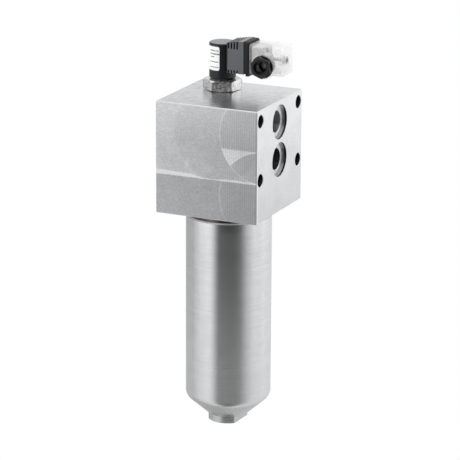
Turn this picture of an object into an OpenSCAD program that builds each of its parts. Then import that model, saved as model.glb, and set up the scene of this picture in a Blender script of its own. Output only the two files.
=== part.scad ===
// High-pressure hydraulic filter for side mounting: a machined block with two ports in one face,
// a long steel bowl that holds the filter element, and an electrical clogging indicator on top.
// Origin: middle of the bolt pattern on the port face. +X leaves that face, -Y is the front, +Z is up.

/* [Head block] */
// Length of the block, from its port face to its rear face
block_l = 96; // [94:1:106]
// Width of the block, front to back
block_w = 96; // [94:1:106]
// Height of the block
block_h = 100; // [98:1:112]
// Chamfer along the block's edges
block_chamfer = 0.8; // [0.4:0.1:1.2]
// Drop from the top of the block to the middle of the bolt pattern
pattern_drop = 36; // [35:0.5:38]
// Radius of the face mill that cut the front of the block
cutter_r = 41.5; // [40:0.5:43]
// Depth of the deeper milling pass on the front
relief_depth = 0.5; // [0.3:0.1:0.8]

/* [Ports and bolts] */
// Bolt spacing across the port face
bolt_pitch_y = 80; // [78:0.5:81]
// Bolt spacing up the port face
bolt_pitch_z = 52; // [49:0.5:54]
// Through hole for a mounting bolt
bolt_hole_d = 11.5; // [9:0.5:12]
// Spacing of the two ports
port_pitch = 33.5; // [32.5:0.5:35]
// Bore of each port
port_bore_d = 19; // [16:0.5:20]
// Diameter of the seal recess round a port
port_recess_d = 30.5; // [28:0.5:31]
// Depth of the seal recess
port_recess_depth = 3.2; // [2:0.1:4]

/* [Bowl] */
// Outside diameter of the bowl
bowl_d = 76; // [74:1:82]
// Bore of the bowl
bowl_bore_d = 55; // [53:0.5:56]
// Length of the bowl's straight side
bowl_side_l = 168; // [166:1:190]
// Gap between the block and the shoulder of the bowl
bowl_gap = 6; // [4:0.5:9]
// Height of the cone under the straight side
bowl_cone_h = 17.6; // [16:0.1:19]
// Thickness of the bowl's floor
bowl_floor = 14; // [12:0.5:15]
// Diameter of the turned spigot under the cone
spigot_d = 36.4; // [35:0.2:39]
// Size across the spigot's two wrench flats
spigot_af = 26; // [24:0.5:30]
// Height of the spigot
spigot_h = 6.2; // [5.5:0.1:8]
// Thread diameter between bowl and block
thread_d = 68; // [67:0.5:70]
// Thread pitch
thread_pitch = 2; // [1.5:0.5:2]
// Length of the thread in the block
thread_l = 19; // [17:0.5:20]
// Diameter of the bowl's seal bore in the block
pilot_d = 64; // [63:0.5:65]
// Length of the seal bore
pilot_l = 10; // [9:0.5:12]
// Bore of the drain thread in the bowl's floor
drain_d = 13; // [10:0.5:15]

/* [Filter element] */
// Diameter of the element's end caps
element_d = 50; // [46:0.5:51]
// Length of the element over its caps
element_l = 203; // [190:1:206]
// Number of pleats
pleats = 42; // [30:1:48]
// Outside diameter of the tube that the element hangs on
tube_d = 22; // [20:0.5:23]
// Engaged length of the element on that tube
tube_grip = 15; // [12:0.5:17]
// Outside diameter of the perforated core
core_d = 32.6; // [31:0.2:33.4]

/* [Bypass valve] */
// Distance of the valve from the bowl's axis
valve_offset = 21; // [20:0.5:22]
// Diameter of the valve's pocket
valve_d = 16; // [14:0.5:16.5]
// Lift of the valve's poppet
valve_lift = 3.5; // [2:0.5:4]

/* [Indicator] */
// Indicator's place along the block, from the bowl's axis
ind_dx = -15; // [-17:0.5:-13]
// Indicator's place across the block, from the bowl's axis
ind_dy = 18; // [17:0.5:20]
// Size across the flats of the indicator's hexagon
ind_hex_af = 30; // [27:1:32]
// Height of the indicator's hexagon
ind_hex_h = 9.4; // [8.4:0.2:11]
// Outside diameter of the black housing
housing_d = 23.6; // [22.4:0.2:26]
// Height of the black housing
housing_h = 32.5; // [31:0.5:38]
// Travel of the magnetic piston
ind_travel = 3; // [1.5:0.5:4]

/* [Connector box] */
// Width of the connector, front to back
conn_w = 22.6; // [21:0.2:25]
// Start of the side box, from the indicator's axis
box_x = 9; // [8:0.5:10]
// Length of the side box
box_l = 16.1; // [15.6:0.1:18]
// Height of the side box at the connector
box_h = 29; // [27.5:0.5:31]
// Thickness of the connector's base plate
base_t = 4.5; // [4.2:0.1:6]
// Width of a cooling slot
slot_w = 1.4; // [0.8:0.1:1.5]
// Spacing of the cooling slots
slot_pitch = 2.74; // [2.4:0.02:2.8]

/* [Plug] */
// Length of the clear plug
plug_l = 31; // [29:0.5:34]
// Height of the clear plug
plug_h = 25.9; // [25:0.1:28]
// Wall of the clear plug
plug_wall = 1.8; // [1.4:0.1:2.2]
// Size across the flats of the gland nut
nut_af = 17; // [16:0.5:18]
// Turn of the gland nut as it was tightened
nut_turn = 9.5; // [0:0.5:30]
// Diameter of the round boss that takes the gland nut
boss_d = 22; // [20.5:0.5:23]
// Length of that boss in front of the plug
boss_l = 7.7; // [6:0.1:9]
// Hole for the cable in the grommet
cable_d = 6.6; // [4:0.2:8]

/* [Hidden] */
$fn = 96;

// Clearances: e makes a cut run past a face, fit is between pieces of one body,
// run is between bodies that move apart
e = 0.4;
fit = 0.05;
run = 0.3;

// Heights and axes in the block
top_z = pattern_drop;
under_z = top_z - block_h;
axis_x = -block_l / 2;
port_z = port_pitch / 2;
roof_z = -port_z + port_bore_d / 2 + 1.25;
seal_z = under_z + thread_l;
ledge_z = seal_z + pilot_l;
chamber_d = pilot_d - 5;
outlet_d = tube_d;
gallery_z = 9;
gallery_d = 10;
valve_x = axis_x - valve_offset;
valve_top_z = gallery_z + gallery_d / 2 + 3;

// Heights of the bowl
rim_ring_t = 1.2;
rim_z = ledge_z - 2 * run - rim_ring_t;
shoulder_z = under_z - bowl_gap;
side_end_z = shoulder_z - bowl_side_l;
flat_z = side_end_z - bowl_cone_h;
cone_a = atan((bowl_d - spigot_d) / 2 / bowl_cone_h);
bowl_edge_r = 9;
bowl_edge_z = side_end_z + bowl_edge_r * tan(cone_a / 2);
spigot_z = flat_z - spigot_h;
floor_z = flat_z + bowl_floor;
neck_r = thread_d / 2 - 1;
crest_r = thread_d / 2 - run;
thread_depth = 0.9;
pilot_r = pilot_d / 2 - 0.1;
ring_section = 1.9;
ring_gap = 0.12;
groove_r = pilot_d / 2 - ring_gap * 2 - ring_section;
backup_t = 1.2;
groove_top_z = rim_z - 1.8;
groove_h = backup_t + ring_section + ring_gap * 3;
drain_head_d = drain_d + 4;
drain_head_h = 4;

// Heights of the element
tube_flange_t = 3;
tube_flange_z = roof_z - tube_flange_t;
element_top_z = tube_flange_z - 3;
tube_end_z = element_top_z - tube_grip;
cap_t = 6;
cap_skirt = 4;
element_end_z = element_top_z - element_l;
media_top_z = element_top_z - cap_t + cap_skirt;
media_end_z = element_end_z + cap_t - cap_skirt;
core_t = 0.8;
socket_l = tube_grip + 4;

// Indicator
ind_x = axis_x + ind_dx;
ind_y = ind_dy;
seal_t = 1.25;
seal_sink = 1;
seal_pocket_d = ind_hex_af - 3;
hex_z = top_z - seal_sink + seal_t;
hex_top_z = hex_z + ind_hex_h;
ind_thread_d = 20;
ind_thread_l = 12;
stem_d = 15;
stem_end_z = 4;
pocket_z = 2;
sense_z = gallery_z + 3.5;
sense_d = 3;
piston_d = 8;
neck_d = 18.8;
neck_h = 3.4;
sensor_d = 11;
sensor_h = 18.4;
housing_wall = 2.2;
housing_top_z = hex_top_z + housing_h;
label_z = hex_top_z + 8.8;
label_h = housing_h - 11.3;
switch_z = hex_top_z + neck_h + 0.1;
switch_l = 13;
lead_l = switch_l + 3;
magnet_d = 6;
magnet_l = 5;
piston_rest_z = stem_end_z + 3.2;
piston_l = 34;
magnet_z = piston_rest_z + piston_l;

// Connector and plug, along X from the indicator's axis
box_z = top_z + 17.4;
box_top_z = box_z + box_h;
conn_z = box_z + plug_h / 2 + 1.05;
box_wall = 3.2;
ribs_l = 11.5;
ribs_end = box_x + ribs_l;
lid_drop = 2.2;
side_slot_h = 7.4;
foot_slot_h = 2.8;
slot_depth = 2;
base_x = ind_x + box_x + box_l;
gasket_x = base_x + base_t;
gasket_t = 0.8;
plug_x = gasket_x + gasket_t + run;
plug_end_x = plug_x + plug_l;
plug_z = conn_z + 0.1;
gland_x = plug_end_x - 14.9;
gland_z = plug_z - 3.5;
front_y = ind_y - conn_w / 2;
boss_y = front_y - boss_l;
nut_thread_d = 16;
nut_flange_d = 20;
nut_flange_t = 1.5;
nut_hex_t = 4.2;
grommet_y = front_y + 1.8;
gland_washer_t = 0.8;
blade_w = 5;
blade_t = 0.8;
blade_tip_x = plug_x + 10;
// Places of the four contact blades round the centre screw, [across, up, turned by]
blades = [[-6, 0, 0], [6, 0, 0], [0, -8, 90], [0, 8, 90]];
screw_d = 3;
screw_head_d = 6;
cross_l = 3.6;
screw_head_t = 2.8;
screw_seal_t = 0.8;

// A box between two corners
module span(a, b) translate(a) cube([b.x - a.x, b.y - a.y, b.z - a.z]);

// A round bar along X, from x0 to x1
module bar_x(d, x0, x1, y, z) translate([x0, y, z]) rotate([0, 90, 0]) cylinder(d = d, h = x1 - x0);

// A round bar along Y, from y0 to y1
module bar_y(d, y0, y1, x, z) translate([x, y1, z]) rotate([90, 0, 0]) cylinder(d = d, h = y1 - y0);

// A countersink that opens towards +X at the plane x
module sink_x(d, x, y, z, c)
    translate([x - c, y, z]) rotate([0, 90, 0]) cylinder(d1 = d, d2 = d + 2 * (c + e), h = c + e);

// A plain ring between two heights
module ring(ro, ri, z0, z1) rotate_extrude() polygon([[ri, z0], [ro, z0], [ro, z1], [ri, z1]]);

// A ring of round section
module o_ring(mid_r, section, z) translate([0, 0, z]) rotate_extrude() translate([mid_r, 0])
    circle(d = section, $fn = 32);

// Moves its children to the bowl's axis, and to the indicator's
module at_bowl() translate([axis_x, 0, 0]) children();
module at_indicator() translate([ind_x, ind_y, 0]) children();

// Outline of a rectangle with cut corners
function cut_corners(a, b, c) = [
    [-a / 2 + c, -b / 2], [a / 2 - c, -b / 2], [a / 2, -b / 2 + c], [a / 2, b / 2 - c],
    [a / 2 - c, b / 2], [-a / 2 + c, b / 2], [-a / 2, b / 2 - c], [-a / 2, -b / 2 + c]];

// A box whose twelve edges are chamfered, centred on the origin
module chamfered_box(l, w, h, c) intersection() {
    translate([0, 0, -h]) linear_extrude(2 * h) polygon(cut_corners(l, w, c));
    translate([0, w, 0]) rotate([90, 0, 0]) linear_extrude(2 * w) polygon(cut_corners(l, h, c));
    translate([-l, 0, 0]) rotate([90, 0, 90]) linear_extrude(2 * l) polygon(cut_corners(w, h, c));
}

// The footprint of the face mill where it stopped, as a bar through the front face.
// Its centre lies beside the port face, at a height below the top.
module mill_mark(drop, depth) {
    front = -block_w / 2;
    bar_y(2 * cutter_r, front - e, front + depth, cutter_r - 35, top_z - drop);
}

// Steps of the front face: the upper pass is the deeper one, and each pass ends in an arc at the port side
module front_relief() {
    front = -block_w / 2;
    upper_drop = 23;
    lower_drop = 2 * cutter_r - 6;
    edge_z = top_z - upper_drop - cutter_r;
    pass_top_z = top_z - lower_drop + cutter_r;
    difference() {
        span([-block_l - e, front - e, edge_z], [e, front + relief_depth, top_z + e]);
        mill_mark(upper_drop, 2 * relief_depth);
    }
    intersection() {
        span([-block_l - e, front - e, edge_z], [e, front + relief_depth * 0.7, top_z + e]);
        mill_mark(upper_drop, relief_depth * 0.7);
    }
    intersection() {
        span([-block_l, front - e, under_z - e], [e, front + relief_depth * 0.3, edge_z]);
        mill_mark(lower_drop, relief_depth * 0.3);
    }
    intersection() {
        span([-block_l, front - e, edge_z], [e, front + relief_depth * 0.9, pass_top_z]);
        mill_mark(upper_drop, relief_depth * 0.9);
        mill_mark(lower_drop, relief_depth * 0.9);
    }
}

// The block with its ports, bolt holes, bowl socket, outlet bore, bypass pocket and indicator pocket
module head_block() color("gainsboro") difference() {
    translate([axis_x, 0, top_z - block_h / 2]) chamfered_box(block_l, block_w, block_h, block_chamfer);
    front_relief();
    for (sy = [-1, 1], sz = [-1, 1]) {
        bar_x(bolt_hole_d, -block_l - e, e, sy * bolt_pitch_y / 2, sz * bolt_pitch_z / 2);
        sink_x(bolt_hole_d, 0, sy * bolt_pitch_y / 2, sz * bolt_pitch_z / 2, 0.4);
    }
    bar_x(port_bore_d, axis_x, e, 0, port_z);
    bar_x(port_bore_d, axis_x + chamber_d / 4, e, 0, -port_z);
    for (sz = [-1, 1]) {
        bar_x(port_recess_d, -port_recess_depth, e, 0, sz * port_z);
        sink_x(port_bore_d, -port_recess_depth, 0, sz * port_z, 0.6);
    }
    at_bowl() {
        rotate_extrude() polygon([
            [0, under_z - e], [thread_d / 2 + 1 + e, under_z - e], [thread_d / 2, under_z + 1],
            [thread_d / 2, seal_z], [pilot_d / 2, seal_z + 1], [pilot_d / 2, ledge_z],
            [chamber_d / 2, ledge_z],
            [chamber_d / 2, roof_z], [0, roof_z]]);
        translate([0, 0, roof_z - e]) cylinder(d = outlet_d, h = port_z + port_bore_d / 2 - roof_z + e);
    }
    translate([valve_x, 0, roof_z - e]) cylinder(d = valve_d, h = valve_top_z - roof_z + e);
    bar_x(gallery_d, -block_l - e, axis_x, 0, gallery_z);
    bar_x(gallery_d + 4, -block_l - e, -block_l + 9, 0, gallery_z);
    at_indicator() {
        translate([0, 0, top_z - ind_thread_l]) cylinder(d = ind_thread_d, h = ind_thread_l + e);
        translate([0, 0, top_z - seal_sink]) cylinder(d = seal_pocket_d, h = seal_sink + e);
        translate([0, 0, top_z - seal_sink - 0.8])
            cylinder(d1 = ind_thread_d, d2 = ind_thread_d + 2.4, h = 1.2);
        translate([0, 0, pocket_z]) cylinder(d = stem_d, h = top_z - pocket_z - e);
        translate([0, 0, roof_z - e]) cylinder(d = sense_d, h = pocket_z - roof_z + 2 * e);
    }
    bar_y(sense_d, 3, block_w / 2 + e, ind_x, sense_z);
    bar_y(8, block_w / 2 - 7, block_w / 2 + e, ind_x, sense_z);
}

// A flush plug along X or Y is a short threaded bar with a hexagon socket
module socket_plug(d, l, af) difference() {
    cylinder(d = d - 2 * fit, h = l);
    translate([0, 0, l - l / 2]) cylinder(d = af / cos(30), h = l, $fn = 6);
    translate([0, 0, l - 0.6]) cylinder(d1 = af / cos(30), d2 = af / cos(30) + 1.2 + 2 * e, h = 0.6 + e);
}
module gallery_plug() color("dimgray")
    translate([-block_l + 8.7, 0, gallery_z]) rotate([0, -90, 0]) socket_plug(gallery_d + 4, 8.5, 6);
module sense_plug() color("dimgray")
    translate([ind_x, block_w / 2 - 6.8, sense_z]) rotate([-90, 0, 0]) socket_plug(8, 6.6, 4);

// The tube in the roof of the chamber that carries the clean oil up and the element below
module outlet_tube() color("darkgray") at_bowl() rotate_extrude() polygon([
    [tube_d / 2 - 3, tube_end_z], [tube_d / 2 - 1, tube_end_z], [tube_d / 2, tube_end_z + 1.5],
    [tube_d / 2, tube_flange_z], [tube_d / 2 + 1.8, tube_flange_z], [tube_d / 2 + 1.8, roof_z],
    [outlet_d / 2 - fit, roof_z], [outlet_d / 2 - fit, roof_z + 12], [tube_d / 2 - 3, roof_z + 12]]);

// The bypass valve: a pressed seat, a coned poppet with a guide stem, and its spring
seat_h = 5;
seat_r = 4.5;
poppet_z = roof_z + seat_h + run;
poppet_t = 2.4;
stem_r = 2;
module bypass_seat() color("goldenrod") translate([valve_x, 0, 0]) rotate_extrude() polygon([
    [seat_r, roof_z], [valve_d / 2 - fit, roof_z], [valve_d / 2 - fit, roof_z + seat_h],
    [seat_r + 1, roof_z + seat_h], [seat_r, roof_z + seat_h - 1]]);
module bypass_poppet() color("silver") translate([valve_x, 0, 0]) rotate_extrude() polygon([
    [0, poppet_z - 1.6], [seat_r - 1.4, poppet_z - 1.6], [seat_r + 0.6, poppet_z + 0.4],
    [6, poppet_z + 0.4],
    [6, poppet_z + poppet_t], [stem_r, poppet_z + poppet_t],
    [stem_r, valve_top_z - valve_lift - run], [0, valve_top_z - valve_lift - run]]);
module bypass_spring() color("slategray") translate([valve_x, 0, 0])
    coil(4.2, 1.1, poppet_z + poppet_t + 0.1, valve_top_z - 0.1, 4);

// A round wire wound between two heights. Each ring of points is square to the winding.
function coil_ring(r, wire, z, a, sides) = [
    for (k = [0 : sides - 1]) let (b = 360 * k / sides, p = r + wire / 2 * cos(b))
        [p * cos(a), p * sin(a), z + wire / 2 * sin(b)]];
module coil(r, wire, z0, z1, turns, sides = 8, steps = 20) {
    n = turns * steps;
    rise = z1 - z0 - wire;
    points = [for (i = [0 : n]) each coil_ring(r, wire, z0 + wire / 2 + rise * i / n, 360 * i / steps,
        sides)];
    walls = [for (i = [0 : n - 1], k = [0 : sides - 1]) let (k2 = (k + 1) % sides)
        each [[i * sides + k, i * sides + k2, (i + 1) * sides + k2],
            [i * sides + k, (i + 1) * sides + k2, (i + 1) * sides + k]]];
    caps = [[for (k = [sides - 1 : -1 : 0]) k], [for (k = [0 : sides - 1]) n * sides + k]];
    polyhedron(points, concat([for (w = walls) [w[2], w[1], w[0]]],
        [for (c = caps) [for (k = [len(c) - 1 : -1 : 0]) c[k]]]));
}

// The bowl: rim, seal groove, thread, neck, shoulder, straight side, cone and spigot, bored from above
module bowl() color("silver") at_bowl() {
    rings = floor((thread_l - 4) / thread_pitch);
    thread_top_z = seal_z - 1.5;
    groove_end_z = groove_top_z - groove_h;
    bore_end_z = floor_z + 4;
    difference() {
        union() {
            rotate_extrude() polygon(concat(
                [[bowl_bore_d / 2, rim_z], [pilot_r - 0.8, rim_z], [pilot_r, rim_z - 0.8],
                [pilot_r, groove_top_z],
                 [groove_r, groove_top_z], [groove_r, groove_end_z], [pilot_r, groove_end_z],
                 [pilot_r, seal_z + 2], [pilot_r - 0.6, seal_z + 1.4],
                 [pilot_r - 0.6, thread_top_z + 0.6]],
                [for (i = [0 : rings - 1]) each
                    [[crest_r, thread_top_z - thread_pitch * i],
                    [crest_r, thread_top_z - thread_pitch * (i + 0.15)],
                     [crest_r - thread_depth, thread_top_z - thread_pitch * (i + 0.55)]]],
                [[crest_r, thread_top_z - thread_pitch * rings], [crest_r, under_z + 0.8],
                [neck_r, under_z],
                 [neck_r, shoulder_z], [bowl_d / 2 - 1.2, shoulder_z], [bowl_d / 2, shoulder_z - 1.2],
                 [bowl_d / 2, bowl_edge_z]],
                [for (i = [1 : 6]) let (a = cone_a * i / 6)
                    [bowl_d / 2 - bowl_edge_r * (1 - cos(a)), bowl_edge_z - bowl_edge_r * sin(a)]],
                [[spigot_d / 2, flat_z], [0, flat_z], [0, floor_z],
                 [bowl_bore_d / 2 - 10, floor_z], [bowl_bore_d / 2, bore_end_z + 2]]));
            intersection() {
                rotate(-3) translate([-spigot_af / 2, -spigot_d / 2, spigot_z])
                    cube([spigot_af, spigot_d, spigot_h + 1]);
                rotate_extrude() polygon([
                    [0, spigot_z], [spigot_d / 2 - 0.5, spigot_z], [spigot_d / 2, spigot_z + 0.5],
                    [spigot_d / 2, flat_z], [0, flat_z + 1]]);
            }
        }
        translate([0, 0, spigot_z - e]) cylinder(d = drain_head_d + 0.6, h = drain_head_h + e);
        translate([0, 0, spigot_z]) cylinder(d = drain_d, h = floor_z - spigot_z + e);
    }
}

// The flat ring between the bowl's rim and the ledge in the block
module bowl_rim_ring() color("ivory") at_bowl()
    ring(pilot_d / 2 - run, bowl_bore_d / 2 + run, rim_z + run, ledge_z - run);

// Rings in the groove of the bowl's pilot, the flat one above the round one
ring_mid_r = pilot_d / 2 - ring_gap - ring_section / 2;
module bowl_backup_ring() color("ivory") at_bowl()
    ring(ring_mid_r + ring_section / 2, ring_mid_r - ring_section / 2,
         groove_top_z - ring_gap - backup_t, groove_top_z - ring_gap);
module bowl_o_ring() color("black") at_bowl()
    o_ring(ring_mid_r, ring_section, groove_top_z - 2 * ring_gap - backup_t - ring_section / 2);

// Drain plug, flush in the spigot, with its own ring under the head
drain_ring = 1.6;
module drain_plug() color("dimgray") at_bowl() difference() {
    union() {
        translate([0, 0, spigot_z + 0.2]) cylinder(d = drain_head_d, h = drain_head_h - 0.2);
        translate([0, 0, spigot_z + drain_head_h - 0.1]) cylinder(d = drain_d - 2 * fit, h = 9);
    }
    translate([0, 0, spigot_z - e]) cylinder(d = 6 / cos(30), h = 5.5, $fn = 6);
    translate([0, 0, spigot_z + drain_head_h - drain_ring]) difference() {
        cylinder(d = drain_head_d + e, h = drain_ring + e / 8);
        translate([0, 0, -e]) cylinder(d = drain_d + 0.6, h = drain_ring + 2 * e);
    }
}
module drain_o_ring() color("black") at_bowl()
    o_ring((drain_head_d + drain_d) / 4 + 0.15, drain_ring - 2 * fit,
        spigot_z + drain_head_h - drain_ring / 2);

// The filter element: two pressed caps, a perforated core and a pleated wall between them
cap_wall = 0.8;
module element_top_cap() color("silver") at_bowl() {
    r = element_d / 2;
    core_r = core_d / 2 - core_t - fit;
    socket_r = tube_d / 2 + run;
    difference() {
        rotate_extrude() polygon([
            [socket_r, element_top_z], [r - 1, element_top_z], [r, element_top_z - 1],
            [r, element_top_z - cap_t], [r - cap_wall, element_top_z - cap_t],
            [r - cap_wall, media_top_z],
            [core_r, media_top_z], [core_r, element_top_z - socket_l],
            [socket_r, element_top_z - socket_l]]);
        rotate_extrude() polygon([
            [0, element_top_z - 4], [socket_r + 2.2, element_top_z - 4],
            [socket_r + 2.2, element_top_z - 7], [0, element_top_z - 7]]);
    }
}
module element_o_ring() color("black") at_bowl()
    o_ring(tube_d / 2 + run + 0.95, 2.3, element_top_z - 5.5);
module element_bottom_cap() color("silver") at_bowl() {
    r = element_d / 2;
    rotate_extrude() polygon([
        [0, element_end_z + 1], [8, element_end_z + 1], [9, element_end_z], [r - 1, element_end_z],
        [r, element_end_z + 1], [r, element_end_z + cap_t], [r - cap_wall, element_end_z + cap_t],
        [r - cap_wall, media_end_z], [core_d / 2 - core_t - fit, media_end_z],
        [core_d / 2 - core_t - fit, media_end_z + 3], [0, media_end_z + 3]]);
}
module element_core() color("gray") at_bowl() {
    rows = 12;
    clear_top_z = element_top_z - socket_l - 4;
    step = (clear_top_z - media_end_z - 8) / rows;
    difference() {
        ring(core_d / 2, core_d / 2 - core_t, media_end_z + fit, media_top_z - fit);
        for (i = [0 : rows - 1], k = [0 : 3])
            translate([0, 0, media_end_z + 8 + step * (i + 0.5)]) rotate([90, 0, 45 * k + 22.5 * (i % 2)])
                cylinder(d = 5, h = core_d + 2, center = true, $fn = 24);
    }
}
// Outline of the pleats, with a point out and a point in for each pleat
function pleat_outline(tip_r, root_r) = [
    for (i = [0 : pleats - 1]) each
        [[tip_r * cos(360 * i / pleats), tip_r * sin(360 * i / pleats)],
         [root_r * cos(360 * (i + 0.5) / pleats), root_r * sin(360 * (i + 0.5) / pleats)]]];
module element_media() color("whitesmoke") at_bowl() {
    tip_r = element_d / 2 - cap_wall - 0.4;
    root_r = core_d / 2 + 1.7;
    difference() {
        translate([0, 0, media_end_z + fit]) linear_extrude(media_top_z - media_end_z - 2 * fit)
            polygon(pleat_outline(tip_r, root_r));
        translate([0, 0, media_end_z - e]) linear_extrude(media_top_z - media_end_z + 2 * e)
            polygon(pleat_outline(tip_r - 1.4, root_r - 1.3));
    }
}

// The indicator's steel body: stem, thread, hexagon, neck and closed sensor tube, bored from below
module indicator_body() color("silver") at_indicator() {
    groove_z = stem_end_z + 2;
    snap_z = hex_top_z + 1.2;
    difference() {
        union() {
            rotate_extrude() polygon([
                [0, stem_end_z], [stem_d / 2 - 1.2, stem_end_z], [stem_d / 2 - 0.2, stem_end_z + 1],
                [stem_d / 2 - 0.2, groove_z], [stem_d / 2 - 1.9, groove_z],
                [stem_d / 2 - 1.9, groove_z + 2.4],
                [stem_d / 2 - 0.2, groove_z + 2.4], [stem_d / 2 - 0.2, top_z - ind_thread_l + 1],
                [ind_thread_d / 2 - 1, top_z - ind_thread_l + 1],
                [ind_thread_d / 2 - fit, top_z - ind_thread_l + 2],
                [ind_thread_d / 2 - fit, hex_top_z], [neck_d / 2, hex_top_z], [neck_d / 2, snap_z],
                [neck_d / 2 - 1, snap_z], [neck_d / 2 - 1, snap_z + 1.2], [neck_d / 2, snap_z + 1.2],
                [neck_d / 2, hex_top_z + neck_h], [sensor_d / 2, hex_top_z + neck_h],
                [sensor_d / 2, hex_top_z + sensor_h - 1], [sensor_d / 2 - 1, hex_top_z + sensor_h],
                [0, hex_top_z + sensor_h]]);
            intersection() {
                translate([0, 0, hex_z]) rotate(22)
                    cylinder(d = ind_hex_af / cos(30), h = ind_hex_h, $fn = 6);
                rotate_extrude() polygon([
                    [0, hex_z], [ind_hex_af / 2 - 0.3, hex_z], [ind_hex_af / 2 + 3.5, hex_z + 1.2],
                    [ind_hex_af / 2 + 3.5, hex_top_z - 1.6], [ind_hex_af / 2 - 0.3, hex_top_z],
                    [0, hex_top_z]]);
            }
        }
        translate([0, 0, stem_end_z - e])
            cylinder(d = piston_d, h = hex_top_z + sensor_h - 1.6 - stem_end_z + e);
        translate([0, 0, stem_end_z + 1]) cylinder(d = piston_d + 0.8, h = 0.8);
        bar_x(2, 0, stem_d, 0, stem_end_z + 14);
    }
}
module indicator_seal() color("black") at_indicator()
    ring(seal_pocket_d / 2 - fit, ind_thread_d / 2 + 1.3, top_z - seal_sink, hex_z);
module stem_o_ring() color("black") at_indicator()
    o_ring(stem_d / 2 - 1, 1.8, stem_end_z + 3.2);
module piston_stop_ring() color("dimgray") at_indicator()
    ring(piston_d / 2 + 0.3, piston_d / 2 - 1, stem_end_z + 1.05, stem_end_z + 1.75);
module indicator_piston() color("silver") at_indicator() {
    r = piston_d / 2 - 0.05;
    rotate_extrude() polygon([
        [0, piston_rest_z], [r - 0.4, piston_rest_z], [r, piston_rest_z + 0.4], [r, piston_rest_z + 5],
        [r - 1, piston_rest_z + 6], [r - 1, piston_rest_z + piston_l - 5],
        [r, piston_rest_z + piston_l - 4],
        [r, piston_rest_z + piston_l], [0, piston_rest_z + piston_l]]);
}
module indicator_magnet() color("dimgray") at_indicator()
    translate([0, 0, magnet_z + fit]) cylinder(d = magnet_d, h = magnet_l);
module indicator_spring() color("slategray") at_indicator()
    coil(2.6, 0.7, magnet_z + magnet_l + 0.15, hex_top_z + sensor_h - 1.7, 6);

// Side view of the side box: ribbed lid that climbs from the round housing to the connector
module box_side(inset, x0, x1) {
    z0 = box_z + inset;
    z1 = box_top_z - inset;
    polygon([[x0, z0], [x1, z0], [x1, z1], [max(x0, ribs_end), z1 - 0.2],
        [x0, z1 - lid_drop + inset / 4]]);
}
module box_prism(inset, x0, x1, w) translate([0, w / 2, 0]) rotate([90, 0, 0])
    linear_extrude(w) box_side(inset, x0, x1);

// The black housing: a round cap over the sensor tube with the side box moulded on,
// open below and at the connector
module indicator_housing() color("dimgray") at_indicator() {
    r = housing_d / 2;
    box_end = box_x + box_l;
    inner_r = neck_d / 2 + 0.2;
    difference() {
        union() {
            rotate_extrude() polygon([
                [0, hex_top_z], [r - 0.9, hex_top_z], [r - 0.5, hex_top_z + 1.4], [r, hex_top_z + 1.9],
                [r, housing_top_z - 0.6], [r - 0.6, housing_top_z], [0, housing_top_z]]);
            box_prism(0, box_x, box_end, conn_w);
        }
        translate([0, 0, hex_top_z - e]) cylinder(r = inner_r, h = housing_h - housing_wall + e);
        translate([0, 0, hex_top_z + 1.1]) cylinder(r = inner_r + 0.6, h = 1.4);
        box_prism(box_wall, inner_r - 2.5, box_end + e, conn_w - 2 * box_wall);
        for (i = [0 : 3]) cooling_slot(box_x + 1.1 + i * slot_pitch);
    }
}
// One slot across the lid, down both sides, and again at the bottom edge of each side
module cooling_slot(x) {
    half = conn_w / 2;
    lid_z = box_top_z - lid_drop + (lid_drop - 0.2) * x / ribs_end;
    span([x, -half - e, lid_z - slot_depth], [x + slot_w, half + e, box_top_z + e]);
    for (s = [-1, 1]) {
        y0 = s < 0 ? -half - e : half - slot_depth;
        y1 = s < 0 ? -half + slot_depth : half + e;
        span([x, y0, box_top_z - side_slot_h], [x + slot_w, y1, box_top_z + e]);
        span([x, y0, box_z - e], [x + slot_w, y1, box_z + foot_slot_h]);
    }
}
module housing_snap_ring() color("black") at_indicator()
    ring(neck_d / 2 + 0.6, neck_d / 2 - 0.8, hex_top_z + 1.3, hex_top_z + 2.3);
module indicator_label() color("white") at_indicator() translate([0, 0, label_z])
    rotate_extrude(angle = 150, start = -229) translate([housing_d / 2 + 0.02, 0])
        square([0.15, label_h]);
module reed_switch() color("lightblue") at_indicator()
    translate([sensor_d / 2 + 2, 0, switch_z]) {
        translate([0, 0, 1.1]) cylinder(d = 2.6, h = switch_l);
        cylinder(d = 0.7, h = lead_l);
    }

// The male half of the connector: base plate with a lug and a locating rim, four blades and a flat gasket
lug_w = conn_w - 2;
rim_wall = 1.8;
module connector_base() color("black") {
    half = conn_w / 2;
    difference() {
        union() {
            translate([0, ind_y, (box_z + box_top_z) / 2]) {
                rounded_bar(base_x, base_x + 1, conn_w - 1, box_h - 1, corner_r);
                rounded_bar(base_x + 0.8, gasket_x, conn_w + 0.6, box_h, corner_r);
            }
            span([base_x + 1.6, ind_y - lug_w / 2, box_z - 1.6],
                [gasket_x, ind_y + lug_w / 2, box_z + 1]);
            span([base_x - 3, ind_y - half + box_wall + fit, box_z + box_wall + fit],
                 [base_x + 1, ind_y + half - box_wall - fit, box_top_z - box_wall - 0.4]);
        }
        for (b = blades) translate([base_x, ind_y + b.x, conn_z + b.y]) rotate([b.z, 0, 0])
            cube([20, blade_t + 2 * fit, blade_w + 2 * fit], center = true);
        bar_x(screw_d + 2 * run, base_x - 1, gasket_x + e, ind_y, conn_z);
        span([base_x - 3 - e, ind_y - half + box_wall + rim_wall, box_z + box_wall + rim_wall],
             [base_x - 1.5, ind_y + half - box_wall - rim_wall, box_top_z - box_wall - rim_wall - 0.4]);
    }
}
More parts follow.
